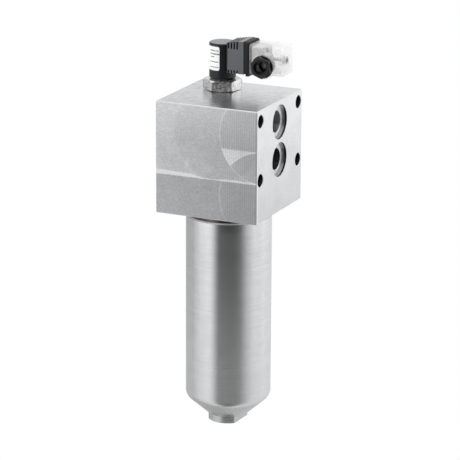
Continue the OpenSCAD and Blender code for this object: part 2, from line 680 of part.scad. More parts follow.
module contact_blades() color("silver") for (b = blades)
    translate([0, ind_y + b.x, conn_z + b.y]) rotate([b.z, 0, 0]) difference() {
        span([base_x - 4, -blade_t / 2, -blade_w / 2], [blade_tip_x, blade_t / 2, blade_w / 2]);
        for (s = [-1, 1]) translate([blade_tip_x, 0, s * blade_w / 2]) rotate([0, 45, 0])
            cube([1.6, 2, 1.6], center = true);
    }
module connector_gasket() color("black") difference() {
    half = conn_w / 2 - 0.2;
    span([gasket_x, ind_y - half, plug_z - plug_h / 2 - 0.4],
        [gasket_x + gasket_t, ind_y + half, plug_z + plug_h / 2 + 0.4]);
    for (b = blades) translate([gasket_x, ind_y + b.x, conn_z + b.y]) rotate([b.z, 0, 0])
        cube([6, blade_t + 0.4, blade_w + 0.4], center = true);
    bar_x(screw_d + 2 * run, gasket_x - e, gasket_x + gasket_t + e, ind_y, conn_z);
}

// The clear plug: a moulded shell with rounded corners, a boss for the gland and a recess for the screw
corner_r = 2;
module rounded_bar(x0, x1, w, h, r) translate([x0, 0, 0]) rotate([90, 0, 90]) linear_extrude(x1 - x0)
    union() {
    square([w - 2 * r, h], center = true);
    square([w, h - 2 * r], center = true);
    for (sx = [-1, 1], sy = [-1, 1]) translate([sx * (w / 2 - r), sy * (h / 2 - r)])
        circle(r = r, $fn = 32);
}
screw_floor_x = plug_end_x - screw_head_t - screw_seal_t - 0.4;
module plug_housing() color("aliceblue") difference() {
    union() {
        translate([0, ind_y, plug_z]) rounded_bar(plug_x, plug_end_x, conn_w, plug_h, corner_r);
        bar_y(boss_d, boss_y, front_y + 2, gland_x, gland_z);
    }
    difference() {
        translate([0, ind_y, plug_z]) rounded_bar(plug_x - e, plug_end_x - plug_wall,
            conn_w - 2 * plug_wall, plug_h - 2 * plug_wall, corner_r - 0.6);
        bar_x(screw_head_d + 5, screw_floor_x - 2, plug_end_x, ind_y, conn_z);
        bar_y(nut_thread_d + 3.4, front_y, grommet_y + 1.1, gland_x, gland_z);
    }
    bar_y(nut_thread_d, boss_y - e, grommet_y, gland_x, gland_z);
    bar_y(nut_thread_d - 4, boss_y, grommet_y + 3, gland_x, gland_z);
    bar_x(screw_head_d + 1.4, screw_floor_x, plug_end_x + e, ind_y, conn_z);
    bar_x(screw_d + 2 * fit, plug_x, plug_end_x, ind_y, conn_z);
}

// The terminal block in the plug, its four spring sockets and their screws
insert_l = 11;
insert_x = plug_x + 1.5;
socket_t = 2.4;
socket_w = blade_w + 1.4;
module plug_insert() color("whitesmoke") difference() {
    translate([0, ind_y, plug_z]) rounded_bar(insert_x, insert_x + insert_l,
        conn_w - 2 * plug_wall - 2 * fit, plug_h - 2 * plug_wall - 2 * fit, corner_r - 0.6);
    for (b = blades) translate([insert_x, ind_y + b.x, conn_z + b.y]) rotate([b.z, 0, 0])
        cube([2 * insert_l + 2, socket_t + 2 * fit, socket_w + 2 * fit], center = true);
    bar_x(screw_d + 1.2, insert_x - e, insert_x + insert_l + e, ind_y, conn_z);
    bar_y(nut_thread_d + 4, front_y, grommet_y + 1.4, gland_x, gland_z);
}
module plug_sockets() color("gold") for (b = blades)
    translate([insert_x, ind_y + b.x, conn_z + b.y]) rotate([b.z, 0, 0]) difference() {
        span([0.3, -socket_t / 2, -socket_w / 2], [insert_l, socket_t / 2, socket_w / 2]);
        span([-e, -blade_t / 2 - run, -blade_w / 2 - run],
            [insert_l - 1.5, blade_t / 2 + run, blade_w / 2 + run]);
    }
module terminal_screws() color("silver") for (b = blades)
    translate([insert_x + insert_l, ind_y + b.x, conn_z + b.y]) rotate([b.z, 0, 0]) difference() {
        bar_x(4, fit, 2, 0, 0);
        span([1.2, -0.35, -3], [3, 0.35, 3]);
    }

// The screw through the middle of the plug, held in the base plate, with a sealing ring under its head
module centre_screw() color("silver") difference() {
    union() {
        bar_x(screw_head_d, screw_floor_x + screw_seal_t, screw_floor_x + screw_seal_t + screw_head_t,
            ind_y, conn_z);
        bar_x(screw_d - 0.2, base_x + 0.5, screw_floor_x + screw_seal_t + 1, ind_y, conn_z);
    }
    cross_x = screw_floor_x + screw_seal_t + screw_head_t;
    span([cross_x - 1.4, ind_y - 0.4, conn_z - cross_l / 2],
        [cross_x + e, ind_y + 0.4, conn_z + cross_l / 2]);
    span([cross_x - 1.4, ind_y - cross_l / 2, conn_z - 0.4],
        [cross_x + e, ind_y + cross_l / 2, conn_z + 0.4]);
}
module screw_seal() color("black") translate([screw_floor_x, ind_y, conn_z]) rotate([0, 90, 0])
    ring(screw_head_d / 2 + 0.6, screw_d / 2 + 0.1, 0, screw_seal_t);

// Moves its children to the gland, with +Z out along -Y and 0 at the rim of the boss
module at_gland() translate([gland_x, boss_y, gland_z]) rotate([90, 0, 0]) children();
nut_z = run;
shank_l = 3.6;
washer_z = -shank_l - gland_washer_t + nut_z - run;
module gland_grommet() color("dimgray") at_gland() rotate_extrude() polygon([
    [cable_d / 2, boss_y - grommet_y + 0.1], [nut_thread_d / 2 - 0.3, boss_y - grommet_y + 0.1],
    [nut_thread_d / 2 - 0.3, washer_z - 0.6], [nut_thread_d / 2 - 1.2, washer_z - run],
    [cable_d / 2 + 0.5, washer_z - run], [cable_d / 2, washer_z - run - 0.5]]);
module gland_washer() color("gray") at_gland()
    ring(nut_thread_d / 2 - 0.4, cable_d / 2 + 1.2, washer_z, washer_z + gland_washer_t);
module gland_nut() color("black") at_gland() {
    hex_z0 = nut_z + nut_flange_t;
    hex_z1 = hex_z0 + nut_hex_t;
    mouth_r = nut_af / 2 - 2.4;
    mouth_h = 3;
    bore_r = mouth_r - 1.4;
    difference() {
        union() {
            rotate_extrude() polygon([
                [0, nut_z - shank_l], [nut_thread_d / 2 - 1, nut_z - shank_l],
                [nut_thread_d / 2 - run, nut_z - shank_l + 0.7],
                [nut_thread_d / 2 - run, nut_z], [nut_flange_d / 2 - 0.3, nut_z],
                [nut_flange_d / 2, nut_z + 0.4],
                [nut_flange_d / 2, hex_z0 - 0.3], [nut_flange_d / 2 - 0.4, hex_z0], [0, hex_z0]]);
            intersection() {
                translate([0, 0, hex_z0 - 0.5]) rotate(30 + nut_turn)
                    cylinder(d = nut_af / cos(30), h = nut_hex_t + 0.5, $fn = 6);
                rotate_extrude() polygon([
                    [0, hex_z0 - 1], [nut_af, hex_z0 - 1], [nut_af, hex_z1 - nut_af * 0.18],
                    [nut_af / 2 - 0.3, hex_z1], [0, hex_z1]]);
            }
        }
        translate([0, 0, nut_z - shank_l - e])
            cylinder(r = bore_r, h = shank_l + nut_flange_t + nut_hex_t + 2 * e);
        translate([0, 0, hex_z1 - mouth_h]) cylinder(r = mouth_r, h = mouth_h + e);
        translate([0, 0, hex_z1 - 0.5]) cylinder(r1 = mouth_r, r2 = mouth_r + 0.5 + e, h = 0.5 + e);
    }
}

head_block();
gallery_plug();
sense_plug();
outlet_tube();
bypass_seat();
bypass_poppet();
bypass_spring();
bowl();
bowl_rim_ring();
bowl_backup_ring();
bowl_o_ring();
drain_plug();
drain_o_ring();
element_top_cap();
element_bottom_cap();
element_core();
element_media();
element_o_ring();
indicator_body();
indicator_seal();
stem_o_ring();
piston_stop_ring();
indicator_piston();
indicator_magnet();
indicator_spring();
reed_switch();
indicator_housing();
housing_snap_ring();
indicator_label();
connector_base();
contact_blades();
connector_gasket();
plug_housing();
plug_insert();
plug_sockets();
terminal_screws();
centre_screw();
screw_seal();
gland_grommet();
gland_washer();
gland_nut();
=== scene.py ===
"""Dresses a side-mounted high-pressure hydraulic filter: its machined block, long steel bowl, element,
bypass valve and electrical clogging indicator. Lengths in the shaders are in millimetres."""

import logging
import math
from dataclasses import dataclass, field
from enum import Enum

import bmesh
import bpy
from mathutils import Matrix, Vector


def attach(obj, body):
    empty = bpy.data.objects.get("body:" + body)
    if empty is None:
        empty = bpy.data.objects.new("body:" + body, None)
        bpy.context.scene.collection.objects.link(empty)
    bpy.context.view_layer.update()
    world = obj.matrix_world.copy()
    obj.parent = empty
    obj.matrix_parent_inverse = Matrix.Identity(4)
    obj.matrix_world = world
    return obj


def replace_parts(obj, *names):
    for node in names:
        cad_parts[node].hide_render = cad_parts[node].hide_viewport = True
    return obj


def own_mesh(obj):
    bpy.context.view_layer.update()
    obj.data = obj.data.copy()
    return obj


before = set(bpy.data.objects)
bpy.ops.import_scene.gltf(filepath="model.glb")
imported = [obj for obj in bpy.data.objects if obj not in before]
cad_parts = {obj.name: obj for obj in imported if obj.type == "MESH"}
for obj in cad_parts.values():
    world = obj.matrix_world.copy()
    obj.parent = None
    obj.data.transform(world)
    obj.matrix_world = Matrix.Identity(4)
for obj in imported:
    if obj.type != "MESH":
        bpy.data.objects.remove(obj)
LOG = logging.getLogger("hydraulic_filter")
MM = 0.001
# Sockets of Blender's Mix node, some of which share a name: factor, two numbers, two colours and their mix
FACTOR, FIRST, SECOND = 0, 2, 3
FIRST_COLOUR, SECOND_COLOUR, COLOUR_OUT = 6, 7, 2
SQUARE_ON = 0.9  # a face looks along an axis where its normal's part along it is greater
Socket = bpy.types.NodeSocket
Tree = bpy.types.NodeTree


class Lay(Enum):
    """How the tool marks of a finish lie on the piece."""

    TURNED = "rings about the piece's axis"
    GROUND = "straight lines along X"
    MOULDED = "fine spark-eroded grain, without direction"
    PLAIN = "smooth"


def linear(code: str) -> tuple[float, float, float, float]:
    """Turns an sRGB hex value into linear colour.

    Args:
        code: Six hex digits after a hash sign.

    Returns:
        Linear red, green and blue, and full opacity.
    """
    parts = [int(code[i : i + 2], 16) / 255 for i in (1, 3, 5)]
    r, g, b = [p / 12.92 if p <= 0.04045 else ((p + 0.055) / 1.055) ** 2.4 for p in parts]
    return (r, g, b, 1.0)


def add(tree: Tree, kind: str, inputs: dict | None = None, out: int | str = 0,
        **settings: object) -> Socket:
    """Adds one node with its settings and links.

    Args:
        tree: The node tree that takes the node.
        kind: The node's type, as Blender names it.
        inputs: Sockets by name or number, each with a value or another node's output.
        out: The output to hand back, by number or name.
        settings: Properties of the node.

    Returns:
        The chosen output socket.
    """
    node = tree.nodes.new(kind)
    for name, value in settings.items():
        setattr(node, name, value)
    for key, value in (inputs or {}).items():
        if isinstance(value, bpy.types.NodeSocket):
            tree.links.new(value, node.inputs[key])
        else:
            node.inputs[key].default_value = value
    return node.outputs[out] if len(node.outputs) else None


def new_tree(name: str) -> tuple[bpy.types.Material, Tree, Socket]:
    """Starts a material.

    Args:
        name: The material's name.

    Returns:
        The material, its empty tree, and the position on the piece in millimetres.
    """
    material = bpy.data.materials.new(name)
    material.use_nodes = True
    tree = material.node_tree
    tree.nodes.clear()
    metres = add(tree, "ShaderNodeTexCoord", out="Object")
    place = add(tree, "ShaderNodeVectorMath", {0: metres, "Scale": 1000.0}, operation="SCALE")
    return material, tree, place


def along(tree: Tree, value: Socket, points: list[tuple[float, float]]) -> Socket:
    """Reads a broken line, level beyond its ends.

    Args:
        tree: The material's tree.
        value: Where the line is read.
        points: Places in rising order, each with its level.

    Returns:
        The level there.
    """
    level: Socket | float = points[0][1]
    for (a, low), (b, high) in zip(points, points[1:]):
        step = add(tree, "ShaderNodeMapRange",
                   {"Value": value, "From Min": a, "From Max": b, "To Min": 0.0, "To Max": high - low})
        level = add(tree, "ShaderNodeMath", {0: level, 1: step}, operation="ADD")
    return level


def finish_tree(tree: Tree, shader: Socket) -> None:
    """Links the shader to the material's output.

    Args:
        tree: The material's tree.
        shader: The surface shader.
    """
    add(tree, "ShaderNodeOutputMaterial", {"Surface": shader})


@dataclass(frozen=True)
class Finish:
    """One finish of a real material. Its grain is drawn in millimetres on the piece, and coarser than it
    really is where it would be too fine to show."""

    name: str
    base: str
    metallic: float = 0.0
    roughness: float = 0.5
    lay: Lay = Lay.PLAIN
    pitch: float = 0.5  # spacing of tool marks or grain, mm
    depth: float = 0.01  # height of tool marks or grain, mm
    shade: float = 0.08  # how much the colour varies
    axis: tuple[float, float] = (0.0, 0.0)  # upright axis of turning, x and y in mm
    painted_light_and_haze: tuple[tuple[float, float, float], ...] = ()  # rising heights in mm, each with a tone of painted light and shade, and a haze
    mottle: float = 0.0  # how far the grain turns hazy in patches
    film: tuple[float, str] = (1e6, "#ffffff")  # height in mm above which the metal takes a tint; on the bowl it is painted shade on the neck
    shade_patch: tuple[float, float, float, float] | None = None  # middle and radius of a round patch of painted shade, mm
    sockets: dict = field(default_factory=dict, hash=False)  # more inputs of the shader
    clouds: float = 0.09  # soft patches to a millimetre, so each is about 11 mm across
    patch_edge: float = 0.8  # half the width of the dark patch's soft edge, mm
    patch_tone: float = 0.12  # lightness in the dark patch
    haze_roughness: float = 0.7

    def material(self) -> bpy.types.Material:
        """Builds the material, or hands back the one built before.

        Returns:
            The Blender material.
        """
        found = bpy.data.materials.get(self.name)
        if found:
            return found
        material, tree, place = new_tree(self.name)
        marks = self.marks(tree, place)
        cloud = add(tree, "ShaderNodeTexNoise",
                    {"Vector": place, "Scale": self.clouds, "Detail": 4.0, "Roughness": 0.6})
        # both noises stay near 0.5, so their sum stays near 1
        tone = add(tree, "ShaderNodeMath", {0: marks, 1: cloud}, operation="ADD")
        tone = add(tree, "ShaderNodeMapRange",
                   {"Value": tone, "From Min": 0.7, "From Max": 1.3,
                    "To Min": 1 - self.shade, "To Max": 1 + self.shade})
        height = add(tree, "ShaderNodeSeparateXYZ", {0: place}).node.outputs[2]
        # the tones by height are painted light and shade
        if self.painted_light_and_haze:
            painted_tone = along(tree, height, [(z, level) for z, level, _ in self.painted_light_and_haze])
            tone = add(tree, "ShaderNodeMath", {0: tone, 1: painted_tone}, operation="MULTIPLY")
        # a round patch of painted shade, with a soft edge
        if self.shade_patch:
            *middle, radius = self.shade_patch
            reach = add(tree, "ShaderNodeVectorMath", {0: place, 1: middle}, out="Value",
                        operation="DISTANCE")
            shadow = along(tree, reach, [(radius - self.patch_edge, self.patch_tone),
                                         (radius + self.patch_edge, 1.0)])
            tone = add(tree, "ShaderNodeMath", {0: tone, 1: shadow}, operation="MULTIPLY")
        colour = add(tree, "ShaderNodeVectorMath", {0: linear(self.base)[:3], "Scale": tone},
                     operation="SCALE")
        rough = add(tree, "ShaderNodeMapRange",
                    {"Value": cloud, "From Min": 0.3, "From Max": 0.7,
                     "To Min": self.roughness * 0.92, "To Max": self.roughness * 1.08})
        bump = add(tree, "ShaderNodeBump", {"Height": marks, "Distance": self.depth * MM, "Strength": 1.0})
        # above that height the colour is tinted: on the bowl, painted shadow in the gap under the block
        shade_tinted = add(tree, "ShaderNodeMath", {0: height, 1: self.film[0]}, operation="GREATER_THAN")
        tint = add(tree, "ShaderNodeMix",
                   {FACTOR: shade_tinted, FIRST_COLOUR: (1, 1, 1, 1), SECOND_COLOUR: linear(self.film[1])},
                   out=COLOUR_OUT, data_type="RGBA")
        colour = add(tree, "ShaderNodeVectorMath", {0: colour, 1: tint}, operation="MULTIPLY")
        sockets = {"Base Color": colour, "Metallic": self.metallic, "Roughness": rough,
                   "Normal": bump, **self.sockets}
        shader = add(tree, "ShaderNodeBsdfPrincipled", sockets)
        if self.painted_light_and_haze or self.mottle:
            # a dull share mixed into the shine, fitted, gives the haze that the photograph shows
            broad = add(tree, "ShaderNodeBsdfPrincipled",
                        {**sockets, "Metallic": 0.0, "Roughness": self.haze_roughness})
            if self.painted_light_and_haze:
                haze = along(tree, height, [(z, share) for z, _, share in self.painted_light_and_haze])
            else:
                haze = along(tree, marks, [(0.4, 0.0), (0.62, self.mottle)])
            shader = add(tree, "ShaderNodeMixShader", {0: haze, 1: shader, 2: broad})
        finish_tree(tree, shader)
        return material

    def marks(self, tree: Tree, place: Socket) -> Socket:
        """Draws the tool marks or grain.

        Args:
            tree: The material's tree.
            place: The position in millimetres.

        Returns:
            A value from 0 to 1.
        """
        fine = 1 / self.pitch
        if self.lay is Lay.TURNED:
            # a radius and a height stand for the two ways in which a tool feeds over the piece
            height = add(tree, "ShaderNodeSeparateXYZ", {0: place}).node.outputs[2]
            around = add(tree, "ShaderNodeVectorMath", {0: place, 1: (*self.axis, 0.0)},
                         operation="SUBTRACT")
            around = add(tree, "ShaderNodeVectorMath", {0: around, 1: (1.0, 1.0, 0.0)},
                         operation="MULTIPLY")
            radius = add(tree, "ShaderNodeVectorMath", {0: around}, out="Value", operation="LENGTH")
            feed = add(tree, "ShaderNodeMath", {0: radius, 1: height}, operation="ADD")
            slow = add(tree, "ShaderNodeVectorMath", {0: around, "Scale": 0.02}, operation="SCALE")
            feed = add(tree, "ShaderNodeVectorMath",
                       {0: slow, 1: add(tree, "ShaderNodeCombineXYZ", {2: feed})}, operation="ADD")
            place = add(tree, "ShaderNodeVectorMath", {0: feed, 1: (0.2, 0.2, fine)},
                        operation="MULTIPLY")
        elif self.lay is Lay.GROUND:
            # scratches run along X, each about 30 mm long
            place = add(tree, "ShaderNodeVectorMath", {0: place, 1: (0.03, fine, fine)},
                        operation="MULTIPLY")
        else:
            place = add(tree, "ShaderNodeVectorMath", {0: place, "Scale": fine}, operation="SCALE")
        return add(tree, "ShaderNodeTexNoise", {"Vector": place, "Scale": 1.0, "Detail": 2.0})


BOWL_AXIS = (-48.0, 0.0)  # x and y, mm
VALVE_AXIS = (-69.0, 0.0)

# Low-alloy steel, turned and oiled: soft upright streaks of light, broken by very fine rings. Tone and haze
# change with height as they do in the photograph: spigot, cone, wall, shoulder and the dark neck over it
# The tone is painted shade and light: darkest on the spigot, rising up the cone and the wall to the
# shoulder
TURNED_BOWL = Finish(
    "Turned_alloy_steel_bowl", "#e4e5e6", metallic=1.0, roughness=0.18, lay=Lay.TURNED, pitch=2.0,
    depth=0.0004, shade=0.05, axis=BOWL_AXIS,
    painted_light_and_haze=((-256.0, 0.70, 0.36), (-254.0, 0.60, 0.26), (-241.5, 0.62, 0.26), (-240.5, 0.76, 0.26),
          (-234.0, 0.87, 0.27), (-215.0, 0.88, 0.265), (-202.0, 0.90, 0.245), (-174.0, 0.92, 0.19),
          (-136.0, 0.95, 0.12), (-98.0, 0.96, 0.07), (-80.0, 1.01, 0.07), (-74.0, 1.02, 0.01),
          (-70.3, 1.02, 0.0), (-70.0, 0.5, 0.1)),
    # the neck's dark, warm tint is painted shadow in the gap under the block
    film=(-70.1, "#f8ece4"))
# Free-cutting steel, turned: duller than the bowl, with close rings
TURNED_PART = Finish(
    "Turned_free_cutting_steel", "#bfc0c1", metallic=1.0, roughness=0.28, lay=Lay.TURNED, pitch=0.5,
    depth=0.004, shade=0.08, axis=BOWL_AXIS)
# Zinc-nickel plate on drawn hexagon bar: bright and mottled, so each flat mirrors the room unevenly
PLATED_HEX = Finish(
    "Zinc_nickel_plated_steel", "#e6e5e4", metallic=1.0, roughness=0.17, lay=Lay.MOULDED, pitch=1.4,
    depth=0.10, shade=0.55, mottle=0.14)
# Manganese-phosphated steel: dark grey and dull, with an oily sheen
PHOSPHATED = Finish(
    "Phosphated_steel_plug", "#4b4b4c", metallic=0.7, roughness=0.48, lay=Lay.MOULDED, pitch=0.25,
    depth=0.02, shade=0.2)
# Blackened steel sheet: black and dull, so that the gland's mouth stays dark
BLACKENED = Finish(
    "Blackened_steel_washer", "#1a1a1b", metallic=0.5, roughness=0.55, lay=Lay.MOULDED, pitch=0.4,
    depth=0.01, shade=0.15)
# Patented spring wire: dark grey, drawn smooth
SPRING_WIRE = Finish(
    "Drawn_spring_wire", "#8f9092", metallic=1.0, roughness=0.32, lay=Lay.MOULDED, pitch=0.3,
    depth=0.006, shade=0.15)
# CuZn39Pb3 brass, turned: yellow, with fine rings
SEAT_BRASS = Finish(
    "Turned_brass_seat", "#c9a45a", metallic=1.0, roughness=0.30, lay=Lay.TURNED, pitch=0.4,
    depth=0.005, shade=0.08, axis=VALVE_AXIS)
# Nitrile rubber, moulded: black and dull
NITRILE = Finish(
    "Moulded_nitrile_rubber", "#1d1d1e", metallic=0.0, roughness=0.55, lay=Lay.MOULDED, pitch=0.35,
    depth=0.01, shade=0.15)
# Filled PTFE, skived: off-white and waxy
PTFE = Finish(
    "Skived_ptfe_ring", "#dad6cb", metallic=0.0, roughness=0.42, lay=Lay.PLAIN, pitch=0.8, depth=0.004,
    shade=0.05)
# Tin-plated sheet steel, pressed: bright, with a faint drawing grain
CAP_SHEET = Finish(
    "Pressed_tinplate_cap", "#c6c6c2", metallic=1.0, roughness=0.34, lay=Lay.MOULDED, pitch=0.8,
    depth=0.006, shade=0.1)
# Glass-fibre filter media, pleated: warm white and dull, with a fibrous tooth
MEDIA = Finish(
    "Pleated_glass_fibre_media", "#e6e2d4", metallic=0.0, roughness=0.85, lay=Lay.MOULDED, pitch=0.5,
    depth=0.05, shade=0.08)
# Hard ferrite magnet, sintered: nearly black, with a dry grain
FERRITE = Finish(
    "Sintered_ferrite_magnet", "#37373a", metallic=0.2, roughness=0.55, lay=Lay.MOULDED, pitch=0.3,
    depth=0.02, shade=0.15)
# Soda-lime glass, drawn as a tube: clear, a little green and glossy
SWITCH_GLASS = Finish(
    "Drawn_switch_glass", "#dfeee8", metallic=0.0, roughness=0.06, lay=Lay.PLAIN, pitch=2.0,
    depth=0.001, shade=0.02, sockets={"Transmission Weight": 0.9, "IOR": 1.5})
# Tin-plated brass contacts: pale, slightly warm and smooth
TINNED = Finish(
    "Tinned_brass_contact", "#c9c5b9", metallic=1.0, roughness=0.25, lay=Lay.GROUND, pitch=0.4,
    depth=0.003, shade=0.08)
# Nickel-plated steel screw: bright and smooth
NICKELLED = Finish(
    "Nickelled_steel_screw", "#bdbcb9", metallic=1.0, roughness=0.22, lay=Lay.MOULDED, pitch=0.6,
    depth=0.004, shade=0.08)
# Glass-filled polyamide, moulded dark: satin black with a fine eroded grain
POLYAMIDE_BASE = Finish(
    "Moulded_polyamide_base", "#070708", metallic=0.0, roughness=0.45, lay=Lay.MOULDED, pitch=0.30,
    depth=0.012, shade=0.12)
# The same polyamide on the gland nut, moulded in a polished tool: glossier
POLYAMIDE_NUT = Finish(
    "Moulded_polyamide_nut", "#101012", metallic=0.0, roughness=0.34, lay=Lay.MOULDED, pitch=0.45,
    depth=0.006, shade=0.10)
# Grey polyamide terminal block, moulded: satin. The dark patch behind the gland is painted shade, and keeps
# the gland's mouth as dark as the photograph shows it
TERMINAL_BLOCK = Finish(
    "Moulded_terminal_block", "#b0b1b0", metallic=0.0, roughness=0.45, lay=Lay.MOULDED, pitch=0.4,
    depth=0.008, shade=0.05, shade_patch=(-19.8, 12.6, 62.1, 4.5))
# Chloroprene grommet: black and dull
GROMMET = Finish(
    "Moulded_chloroprene_grommet", "#141415", metallic=0.0, roughness=0.6, lay=Lay.MOULDED, pitch=0.4,
    depth=0.01, shade=0.1)


@dataclass(frozen=True)
class MilledBlockFinish:
    """Steel block, face-milled in front and ground on top: each face has the marks of its own tool.
    The tones of its zones are fitted to the photograph, and hold painted light and shade: the slopes of
    tone on the front and the port face, the highlights along its edges, ledge and footprint rims, and the
    shade in its holes."""

    name: str = "Milled_and_ground_steel_block"
    bright: str = "#eeeff1"
    rear_x: float = -96.0  # the port face is at x = 0, mm
    foot_z: float = -64.0
    top_z: float = 36.0
    cutter_r: float = 41.5  # radius of the cutter's footprints, mm
    upper: tuple[float, float] = (6.5, 13.0)  # middles of the footprints, x and z in mm
    lower: tuple[float, float] = (6.5, -41.0)
    third: tuple[float, float] = (-37.0, 12.0)
    ledge: float = -28.5  # height of the step between the passes, mm
    feed: float = 2.0  # feed of the mill, mm a turn, drawn ten times as coarse as it is
    lean: float = 0.3  # how far the lines outside the footprints lean
    top_haze: float = 0.05
    bolt: tuple[float, float] = (40.0, 26.0)  # bolt holes, y and z in mm to either side
    port_z: float = 16.75  # height of the upper port, and depth of the lower one, mm
    hole_end: float = -95.6  # the painted shade in the holes reaches up to here, so that the rear face stays bright

    def far(self, tree: Tree, place: Socket, centre: tuple[float, float]) -> Socket:
        """Distance in the front's plane from the middle of a cutter's footprint.

        Args:
            tree: The material's tree.
            place: The position in millimetres.
            centre: X and Z of the middle, mm.

        Returns:
            The distance in millimetres.
        """
        off = add(tree, "ShaderNodeVectorMath", {0: place, 1: (centre[0], 0, centre[1])},
                  operation="SUBTRACT")
        off = add(tree, "ShaderNodeVectorMath", {0: off, 1: (1, 0, 1)}, operation="MULTIPLY")
        return add(tree, "ShaderNodeVectorMath", {0: off}, out="Value", operation="LENGTH")

    def inside(self, tree: Tree, value: Socket, limit: float, soft: float = 0.4) -> Socket:
        """A mask that is 1 where the value is under the limit.

        Args:
            tree: The material's tree.
            value: The value to test.
            limit: Where the mask changes.
            soft: Half the width of the change.

        Returns:
            A value from 0 to 1.
        """
        return add(tree, "ShaderNodeMapRange",
                   {"Value": value, "From Min": limit - soft, "From Max": limit + soft,
                    "To Min": 1.0, "To Max": 0.0}, interpolation_type="SMOOTHSTEP")

    def material(self) -> bpy.types.Material:
        """Builds the block's material.

        Returns:
            The Blender material.
        """
        material, tree, place = new_tree(self.name)
        axes = add(tree, "ShaderNodeSeparateXYZ", {0: place}).node.outputs
        normal = add(tree, "ShaderNodeNewGeometry", out="True Normal")
        n = add(tree, "ShaderNodeSeparateXYZ", {0: normal}).node.outputs
        front = self.over(tree, n[1], -SQUARE_ON, below=True)
        top = self.over(tree, n[2], SQUARE_ON)
        ends = add(tree, "ShaderNodeMath", {0: n[0]}, operation="ABSOLUTE")
        marks, fine = self.milling(tree, place, axes, front)
        cloud = add(tree, "ShaderNodeTexNoise",
                    {"Vector": place, "Scale": 0.045, "Detail": 5.0, "Roughness": 0.65})
        # front, top and port face have tones of their own, the rear face has the port face's, and the
        # rest, bevels too, has one tone
        tone = add(tree, "ShaderNodeMix", {FACTOR: self.over(tree, ends, SQUARE_ON), FIRST: 1.04,
                                           SECOND: self.port_tone(tree, axes)})
        tone = add(tree, "ShaderNodeMix", {FACTOR: top, FIRST: tone,
                                           SECOND: self.top_tone(tree, place, axes)})
        tone = add(tree, "ShaderNodeMix", {FACTOR: front, FIRST: tone,
                                           SECOND: self.front_tone(tree, place, axes)})
        for value, low, high, dark, light in (
                (cloud, 0.35, 0.65, 0.95, 1.04), (marks, 0.32, 0.68, 0.92, 1.08),
                (fine, 0.3, 0.7, 0.93, 1.07)):
            part = add(tree, "ShaderNodeMapRange",
                       {"Value": value, "From Min": low, "From Max": high, "To Min": dark, "To Max": light})
            tone = self.times(tree, tone, part)
        # painted shade in the drilled holes and in the recesses round the ports
        tone = self.times(tree, tone, self.bores(tree, axes))
        colour = add(tree, "ShaderNodeVectorMath", {0: linear(self.bright)[:3], "Scale": tone},
                     operation="SCALE")
        rough = add(tree, "ShaderNodeMix", {FACTOR: top, FIRST: 0.42, SECOND: 0.26})
        bump = add(tree, "ShaderNodeBump", {"Height": marks, "Distance": 0.025 * MM, "Strength": 1.0})
        sockets = {"Base Color": colour, "Metallic": 1.0, "Roughness": rough, "Normal": bump}
        shader = add(tree, "ShaderNodeBsdfPrincipled", sockets)
        broad = add(tree, "ShaderNodeBsdfPrincipled", {**sockets, "Metallic": 0.0})
        haze = self.times(tree, top, self.top_haze)
        finish_tree(tree, add(tree, "ShaderNodeMixShader", {0: haze, 1: shader, 2: broad}))
        return material

    def over(self, tree: Tree, value: Socket, limit: float, below: bool = False) -> Socket:
        """A hard mask on one side of a limit.

        Args:
            tree: The material's tree.
            value: The value to test.
            limit: Where the mask changes.
            below: The mask is 1 under the limit, instead of over it.

        Returns:
            0 or 1.
        """
        return add(tree, "ShaderNodeMath", {0: value, 1: limit},
                   operation="LESS_THAN" if below else "GREATER_THAN")

    def times(self, tree: Tree, *values: Socket | float) -> Socket:
        """Multiplies values.

        Args:
            tree: The material's tree.
            values: The values.

        Returns:
            Their product.
        """
        product = values[0]
        for value in values[1:]:
            product = add(tree, "ShaderNodeMath", {0: product, 1: value}, operation="MULTIPLY")
        return product

    def mixed(self, tree: Tree, tone: Socket | float, mask: Socket, factor: float) -> Socket:
        """Multiplies a tone by a factor where the mask is 1.

        Args:
            tree: The material's tree.
            tone: The tone so far.
            mask: Where the factor counts.
            factor: The factor.

        Returns:
            The new tone.
        """
        share = add(tree, "ShaderNodeMix", {FACTOR: mask, FIRST: 1.0, SECOND: factor})
        return self.times(tree, tone, share)

    def milling(self, tree: Tree, place: Socket, axes: list, front: Socket) -> tuple[Socket, Socket]:
        """Draws the marks of the tools: milled arcs in front, the scratches of the wheel elsewhere.

        Args:
            tree: The material's tree.
            place: The position in millimetres.
            axes: The position's three parts, mm.
            front: Mask of the front face.

        Returns:
            The marks, and a finer cross grain.
        """
        r1 = self.far(tree, place, self.upper)
        dots = add(tree, "ShaderNodeVectorMath", {0: place, 1: (0.35, 0.35, 0.75)}, operation="MULTIPLY")
        dots = add(tree, "ShaderNodeTexNoise", {"Vector": dots, "Scale": 1.0, "Detail": 3.0})
        r3 = self.far(tree, place, self.third)
        slant = add(tree, "ShaderNodeMath", {0: self.times(tree, axes[2], self.lean), 1: axes[0]},
                    operation="ADD")
        outer = add(tree, "ShaderNodeMix", {FACTOR: self.inside(tree, r3, self.cutter_r, 3.0),
                                            FIRST: self.passes(tree, slant, dots),
                                            SECOND: self.passes(tree, r3, dots)})
        r2 = self.far(tree, place, self.lower)
        nearer = add(tree, "ShaderNodeMath", {0: r1, 1: r2}, operation="MINIMUM")
        # upright lines, and stronger ones, in the two footprints on the right
        mill = add(tree, "ShaderNodeMix", {FACTOR: self.inside(tree, nearer, self.cutter_r), FIRST: outer,
                                           SECOND: self.passes(tree, axes[0], dots, 0.27)})
        ground = add(tree, "ShaderNodeVectorMath", {0: place, 1: (0.16, 0.9, 0.9)}, operation="MULTIPLY")
        ground = add(tree, "ShaderNodeTexNoise", {"Vector": ground, "Scale": 1.0, "Detail": 4.0})
        fine = add(tree, "ShaderNodeTexNoise", {"Vector": place, "Scale": 0.8, "Detail": 2.0})
        return add(tree, "ShaderNodeMix", {FACTOR: front, FIRST: ground, SECOND: mill}), fine

